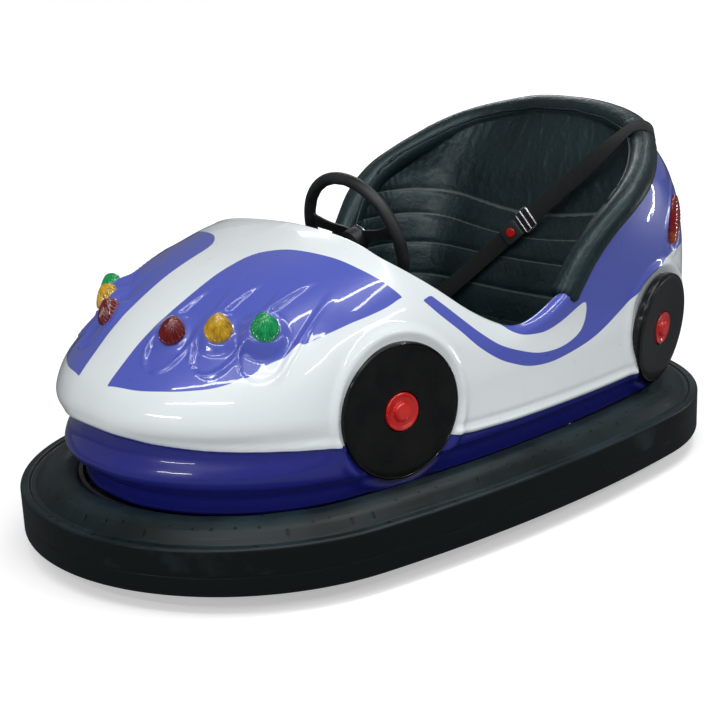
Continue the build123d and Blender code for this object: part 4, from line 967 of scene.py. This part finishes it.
puff += 4.5 * pleats * hump(top - z, 45, 34) * ease(0.8 - share, 0, 0.3)
padding = inner + seat_normal * (puff - 6)[..., None]

roll_path = resample(curve_through(np.vstack((ROLL_LINE, roll_back * MIRROR)), 24), ROLL_RINGS)
padding = lay_over(padding, roll_path, ROLL_R + 3)
padding[:, -1] -= seat_normal[:, -1] * 6 + (0, 0, 5.0)
padding[-1, :, 1] = 0.0
seat = put_in("seat_back_cover", *both_sides(padding), leatherette, weld=0.05,
              marks={"seam": np.tile(count.ravel(), 2)})
thickened(seat, 0.02)
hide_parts("seat_back")


# ---- Seat cushion ----
# A foam cushion in the same leatherette, crowned in the middle, pulled in at its seams and
# piped round its top edge. It lies loose on the seat box.

# its top and underside, x of its middle, half its depth and half its width
CUSHION_TOP, CUSHION_LOW, CUSHION_X, CUSHION_DEEP, CUSHION_WIDE = 330.0, 236.0, -303, 168, 376
# the mark of a cover without the lighter seam line, which is thread and a painted highlight
SEAMLESS = {"seam": 0.5}


def tube(line, radius, count=16, closed=False):
    """A round section carried along a line, square to it, as a grid of rings."""
    run = unit(np.roll(line, -1, axis=0) - np.roll(line, 1, axis=0) if closed
               else np.gradient(line, axis=0))[:, None]
    side_way = unit(np.cross(run, (0, 0, 1)))
    angle = circle(count)[:, None]
    radius = np.broadcast_to(radius, (len(line), count))[..., None]
    return line[:, None] + radius * (np.cos(angle) * side_way
                                     + np.sin(angle) * np.cross(side_way, run))


# from the middle of the top to the middle of the bottom: share of the outline, of the height
level = np.array((0.01, 0.15, 0.3, 0.45, 0.58, 0.70, 0.80, 0.88, 0.94, 0.975, 0.99, 1.0, 1.012,
                  1.015, 1.012, 1.0, 0.985, 0.95, 0.6, 0.01))
height = np.array((1, 1, 1, 1, 1, 1, 1, 1, 1, 1, 0.97, 0.93, 0.8, 0.5, 0.2, 0.07, 0.02, 0, 0, 0))
angle = circle(240)[:, None]
square = (np.abs(np.cos(angle)) ** 7 + np.abs(np.sin(angle)) ** 7) ** (-1 / 7)
px = CUSHION_X + CUSHION_DEEP * square * np.cos(angle) * level
py = CUSHION_WIDE * square * np.sin(angle) * level
crown = 16 * (1 - level ** 2.5) * (height == 1)
pz = CUSHION_LOW + (CUSHION_TOP - CUSHION_LOW - 6) * height + crown
pz = pz + 2.0 * crumple(px / 60, py / 60, 3) * (height > 0.9) * (level < 0.97)
pz -= (7 * hump(py, 0, 7) + 5 * hump(np.abs(py), 190, 8)) * (height > 0.9)
cushion_points = points_at(px, py, pz)
cushion = put_in("seat_cushion_cover", *surface(cushion_points, True), leatherette, weld=0.05,
                 marks=SEAMLESS)
smoother = cushion.modifiers.new("soft", "SUBSURF")
smoother.levels = smoother.render_levels = 1
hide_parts("seat_cushion")
cushion_edge = tube(cushion_points[:, 10] + (0, 0, 2), 3.6, 10, closed=True)
piping = put_in("cushion_piping", *surface(cushion_edge, True, True), leatherette, marks=SEAMLESS)


# ---- Padded roll ----
# A foam tube in leatherette, laced over the top edge of the tub from one wing's front round
# the back to the other. Its ends are gathered and tucked in.
run = np.linspace(0, 1, ROLL_RINGS)[:, None]
end_gap = running(roll_path)[-1] * np.minimum(run, 1 - run)
angle = circle(ROLL_AROUND)
close = np.sqrt(np.clip(1 - (1 - np.clip(end_gap / 24, 0, 1)) ** 2, 0.0004, 1))
gather = np.exp(-end_gap / 28)
radius = close * (ROLL_R + 1.6 * crumple(run * 60, np.cos(angle) * 2, 11)
                  + 1.2 * np.sin(run * 37) + 2.4 * gather * np.cos(13 * angle)
                  + 1.3 * np.abs(np.sin(run * 210 + 2 * np.sin(angle))) * ease(gather, 0.02, 0.5))
roll = put_in("padded_roll_cover", *surface(tube(roll_path, radius, ROLL_AROUND), close_columns=True),
              leatherette, marks=SEAMLESS)
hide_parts("padded_roll")
welt_line = np.vstack((padding[:, -2], padding[-2::-1, -2] * MIRROR))
welt = put_in("seat_back_piping", *surface(tube(welt_line, 3.2, 10), close_columns=True), leatherette,
              marks=SEAMLESS)


# ---- Lap and shoulder belt ----
# Black woven webbing, bolted behind the seat, laid over the roll and down to its foot between
# cushion and back, through a steel slide and a plastic buckle with a red button.

# its lower bolt, width and thickness, and the radius at which it lies on the roll
BELT_FOOT, BELT_WIDE, BELT_THICK, HUG = np.array((-468.0, -248.0, 345.0)), 48.0, 2.2, 38.5
# places along the belt, from where it leaves the roll: end of its top length, slide, buckle,
# start of its foot length
TOP_END, SLIDE_AT, BUCKLE_AT, FOOT_START = 424, 392, 450, 478

# the belt's line: an arc over the roll, square to it, and straight from there to its foot
belt_from = (ROLL_LINE[6] + ROLL_LINE[7]) / 2
run_way, roll_way = unit(BELT_FOOT - belt_from), unit(ROLL_LINE[7] - ROLL_LINE[6])
across_way = unit(roll_way - run_way * (roll_way @ run_way))
up_way = unit((0, 0, 1.0) - across_way * across_way[2])
arc_ways = np.array((np.cross(up_way, across_way), up_way))
foot = arc_ways @ (BELT_FOOT - belt_from)
leave = np.arctan2(foot[1], foot[0]) + np.arccos(HUG / np.linalg.norm(foot))
angle = np.linspace(np.radians(215), leave, 24)
hug = HUG * points_at(np.cos(angle), np.sin(angle))
belt_flat = np.vstack((hug, hug[-1] + (foot - hug[-1]) * np.linspace(0, 1, 60)[1:, None]))
belt_run = np.append(0, running(belt_flat))
belt_line = belt_from + belt_flat @ arc_ways
hug_length = belt_run[len(hug) - 1]
# across the belt where it lies on the rider's side of the back
rest_way = unit(np.cross(run_way, (-0.80, -0.50, -0.33)))
rest_way *= np.sign(rest_way @ across_way)

webbing, add = new_finish("black_webbing", sheen_weight=0.06)
uv = add("UVMap", uv_map="along").outputs["UV"]
warp = add("TexWave", {"Vector": uv, "Scale": 170.0, "Distortion": 1.5, "Detail": 1.0},
           bands_direction="Y").outputs["Fac"]
weft = add("TexWave", {"Vector": uv, "Scale": 260.0, "Distortion": 1.0},
           bands_direction="X").outputs["Fac"]
weave = calculate(add, "MULTIPLY", warp, weft)
add("shader", {"Base Color": ramp(add, weave, (0.0, (0.0015, 0.003, 0.0035)),
                                  (1.0, (0.009, 0.014, 0.016))),
               "Roughness": ramp(add, weave, (0.0, 0.85), (1.0, 0.6)),
               "Normal": relief(add, weave, 0.7, 0.0008)})


def belt_frame(at):
    """Places on the belt and its ways there: along, across and out; it turns flat past the roll."""
    line = points_at(*(np.interp(at, belt_run, column) for column in belt_line.T))
    flat = ease(at, hug_length - 30, hug_length + 190)[:, None]
    run = unit(np.gradient(line, axis=0))
    wide_way = across_way * (1 - flat) + rest_way * flat
    wide_way = unit(wide_way - run * np.sum(run * wide_way, axis=1, keepdims=True))
    return line, run, wide_way, np.cross(wide_way, run)


def belt_place(along):
    """Middle and three ways of the belt at one place past the roll."""
    return [ways[1] for ways in belt_frame(hug_length + along + np.linspace(-2, 2, 3))]


def belt_piece(name, node, low, high):
    """Webbing between two places: a rounded oblong set across the belt all the way along."""
    at = np.linspace(low, high, max(int((high - low) / 9), 4))
    half = BELT_WIDE / 2
    section = rounded(((-half, 0), (half, 0), (half, BELT_THICK), (-half, BELT_THICK)), (1,) * 4, 3)
    line, run, wide_way, out = (ways[:, None] for ways in belt_frame(at))
    band = line + section[:, :1] * wide_way + section[:, 1:] * out
    around = running(band[0], prepend=band[:1, -1])
    piece = put_in(name, *surface(band, close_columns=True), webbing,
                   uv=points_at(at[:, None], around) / 1000)
    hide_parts(node)


belt_piece("belt_top_length", "belt_upper_webbing", 0.0, hug_length + TOP_END)
belt_piece("belt_foot_length", "belt_lower_webbing", hug_length + FOOT_START, belt_run[-1])

bright_steel, add = new_finish("bright_steel", metallic=1.0)
place = place_on(add)
brushed = add("Mapping", {"Vector": place, "Scale": (1, 14, 14)}).outputs[0]
add("shader", {"Base Color": ramp(add, noise(add, place, 22.0, 5.0), (0.3, (0.28, 0.28, 0.29)),
                                  (0.7, (0.55, 0.55, 0.56))),
               "Roughness": spread(add, noise(add, brushed, 60.0, 5.0), 0.22, 0.48)})

loop = rounded(((-19, -31), (19, -31), (19, 31), (-19, 31)), (7,) * 4, 5)
loop = tube(points_at(*loop.T, 2.5), 3.4, 12, closed=True)
bar = tube(points_at(0, np.linspace(-29, 29, 12), 5.5), 3.0, 12)
points, faces = together(surface(loop, True, True), surface(bar, close_columns=True))
slide = put_in("belt_slide", set_on(points, *belt_place(SLIDE_AT)), faces, bright_steel)
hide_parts("belt_slider")

# the buckle's housing, each level with the share of its outline there, and its button
CASE_LEVELS = ((-6.0, 0.01), (-6.0, 0.9), (-7.5, 1.0), (7.0, 1.0), (9.5, 0.92), (9.6, 0.3),
               (9.6, 0.01))
case = rounded(((-30, -28), (30, -28), (30, 28), (-30, 28)), (9, 9, 13, 13))
level, wide = np.transpose(CASE_LEVELS)
case_grid = points_at(case[:, :1] * wide, case[:, 1:] * wide, level)
buckle_at = belt_place(BUCKLE_AT)
buckle = put_in("belt_buckle_case", *surface(set_on(case_grid, *buckle_at), True), trim, weld=0.05)
edge_round = buckle.modifiers.new("edges", "BEVEL")
edge_round.width = 0.0012
edge_round.segments = 2
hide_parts("belt_buckle")
button_grid = turned(soft_line(((0.01, 5), (13, 5), (13, 12.5), (0.01, 13.2)), (0, 0.5, 2, 0)), 48)
button = put_in("belt_release_button", *surface(set_on(button_grid, *buckle_at), True), red_gloss,
                weld=0.05)
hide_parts("belt_button")


# ---- Steering wheel ----
# A steel hoop moulded in soft black plastic on three flat spokes, with a domed cap over the
# nut. It is keyed to the shaft and leans towards the driver.
STEER_CENTRE, STEER_LEAN = np.array((56.0, 0.0, 635.0)), np.radians(15)
# radius of the hoop and of its section, degrees of the spokes, and where a spoke starts and ends
HOOP_R, GRIP_R, SPOKE_TURNS, SPOKE_START, SPOKE_END = 167, 15.5, (-90.0, 15.0, 165.0), 24, 158
grip = grained_plastic("soft_black_grip", 520.0, 16.0,
                       ((0.008, 0.009, 0.010), (0.024, 0.026, 0.028)), (0.34, 0.6), 0.35)

# the hoop's grip has fine ribs on its inner side
angle, around = circle(160), circle(28)
hoop_line = HOOP_R * points_at(np.cos(angle), np.sin(angle), 0)
hoop_r = GRIP_R + 0.35 * np.cos(24 * angle)[:, None] * (np.cos(around - np.pi) > 0)
wheel_parts = [surface(tube(hoop_line, hoop_r, 28, closed=True), True, True)]
# one spoke along x, waisted in the middle and rising to the boss, is set at each turn
reach = np.linspace(SPOKE_START, SPOKE_END, 22)[:, None]
half_wide = (17 - 4.5 * np.sin(np.pi * ease(reach, SPOKE_START, SPOKE_END))
             + 5 * ease(reach, 140, SPOKE_END))
across, through = rounded(((-1, -3.5), (1, -3.5), (1, 3.5), (-1, 3.5)), (0.35,) * 4, 4).T
spoke = points_at(reach, across * half_wide, through + 10 * (1 - ease(reach, 30, 150)))
for turn in np.radians(SPOKE_TURNS):
    ways = (np.cos(turn), np.sin(turn), 0), (-np.sin(turn), np.cos(turn), 0), (0, 0, 1)
    wheel_parts.append(surface(set_on(spoke, 0, *ways), close_columns=True))
boss = turned(soft_line(((0.01, -22), (32, -22), (34, 4), (30, 17), (14, 21), (0.01, 22)),
                        (0, 3, 4, 5, 5, 0)), 64)
points, faces = together(*wheel_parts, surface(boss, True))
steer_at = (STEER_CENTRE, (0, 1, 0), (np.sin(STEER_LEAN), 0, np.cos(STEER_LEAN)),
            (-np.cos(STEER_LEAN), 0, np.sin(STEER_LEAN)))
wheel = put_in("steering_hoop", set_on(points, *steer_at), faces, grip, body="steering", weld=0.05)
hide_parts("steering_wheel")
trim_ring = turned(rounded(((25, 15), (33.5, 13), (34.5, 17), (26, 20)), (1, 1, 1.5, 1.5), 4), 64)
ring_piece = put_in("steering_trim_ring", *surface(set_on(trim_ring, *steer_at), True, True),
                    bright_steel, body="steering")


# ---- Running gear ----
# Welded steel rails and floor, the turning drive fork with its motor, solid-tyred wheels on
# fixed axles, the batteries and the pedal: painted black and left greasy.
frame_paint, add = new_finish("greasy_black_paint", coat_weight=0.2, coat_roughness=0.3)
place = place_on(add)
grease = noise(add, place, 12.0, 7.0, 0.65)
chip = ramp(add, noise(add, place, 75.0, 6.0, 0.75), (0.66, 0.0), (0.69, 1.0))
colour = ramp(add, grease, (0.35, (0.010, 0.010, 0.011)), (0.7, (0.035, 0.034, 0.033)))
add("shader", {"Base Color": blend(add, chip, colour, (0.11, 0.055, 0.03, 1)),
               "Roughness": ramp(add, grease, (0.3, 0.35), (0.75, 0.75)),
               "Normal": relief(add, grease, 0.2, 0.003)})
tread, add = new_finish("solid_tyre_rubber")
dust = noise(add, place_on(add), 30.0, 6.0, 0.7)
add("shader", {"Base Color": ramp(add, dust, (0.4, 0.012), (0.75, (0.07, 0.068, 0.062))),
               "Roughness": ramp(add, dust, (0.3, 0.6), (0.8, 0.9)),
               "Normal": relief(add, dust, 0.3, 0.002)})
motor_paint, add = new_finish("motor_enamel", coat_weight=0.3, coat_roughness=0.2)
place = place_on(add)
soot = noise(add, place, 18.0, 6.0)
fins = add("TexWave", {"Vector": place, "Scale": 18.0}, bands_direction="Z").outputs["Fac"]
add("shader", {"Base Color": ramp(add, soot, (0.35, (0.07, 0.085, 0.10)),
                                  (0.75, (0.02, 0.022, 0.025))),
               "Roughness": ramp(add, soot, (0.3, 0.3), (0.8, 0.7)),
               "Normal": relief(add, fins, 0.8, 0.004)})
paint(frame_paint, "bumper_band", "floor_pan", "chassis_frame", "drive_bearing", "drive_fork",
      "rear_left_bracket", "rear_right_bracket", "steering_column")
paint(tread, "drive_wheel", "rear_left_wheel", "rear_right_wheel")
paint(motor_paint, "drive_motor")
paint(trim, "battery_pack")
paint(bright_steel, "steering_shaft", "drive_pedal")
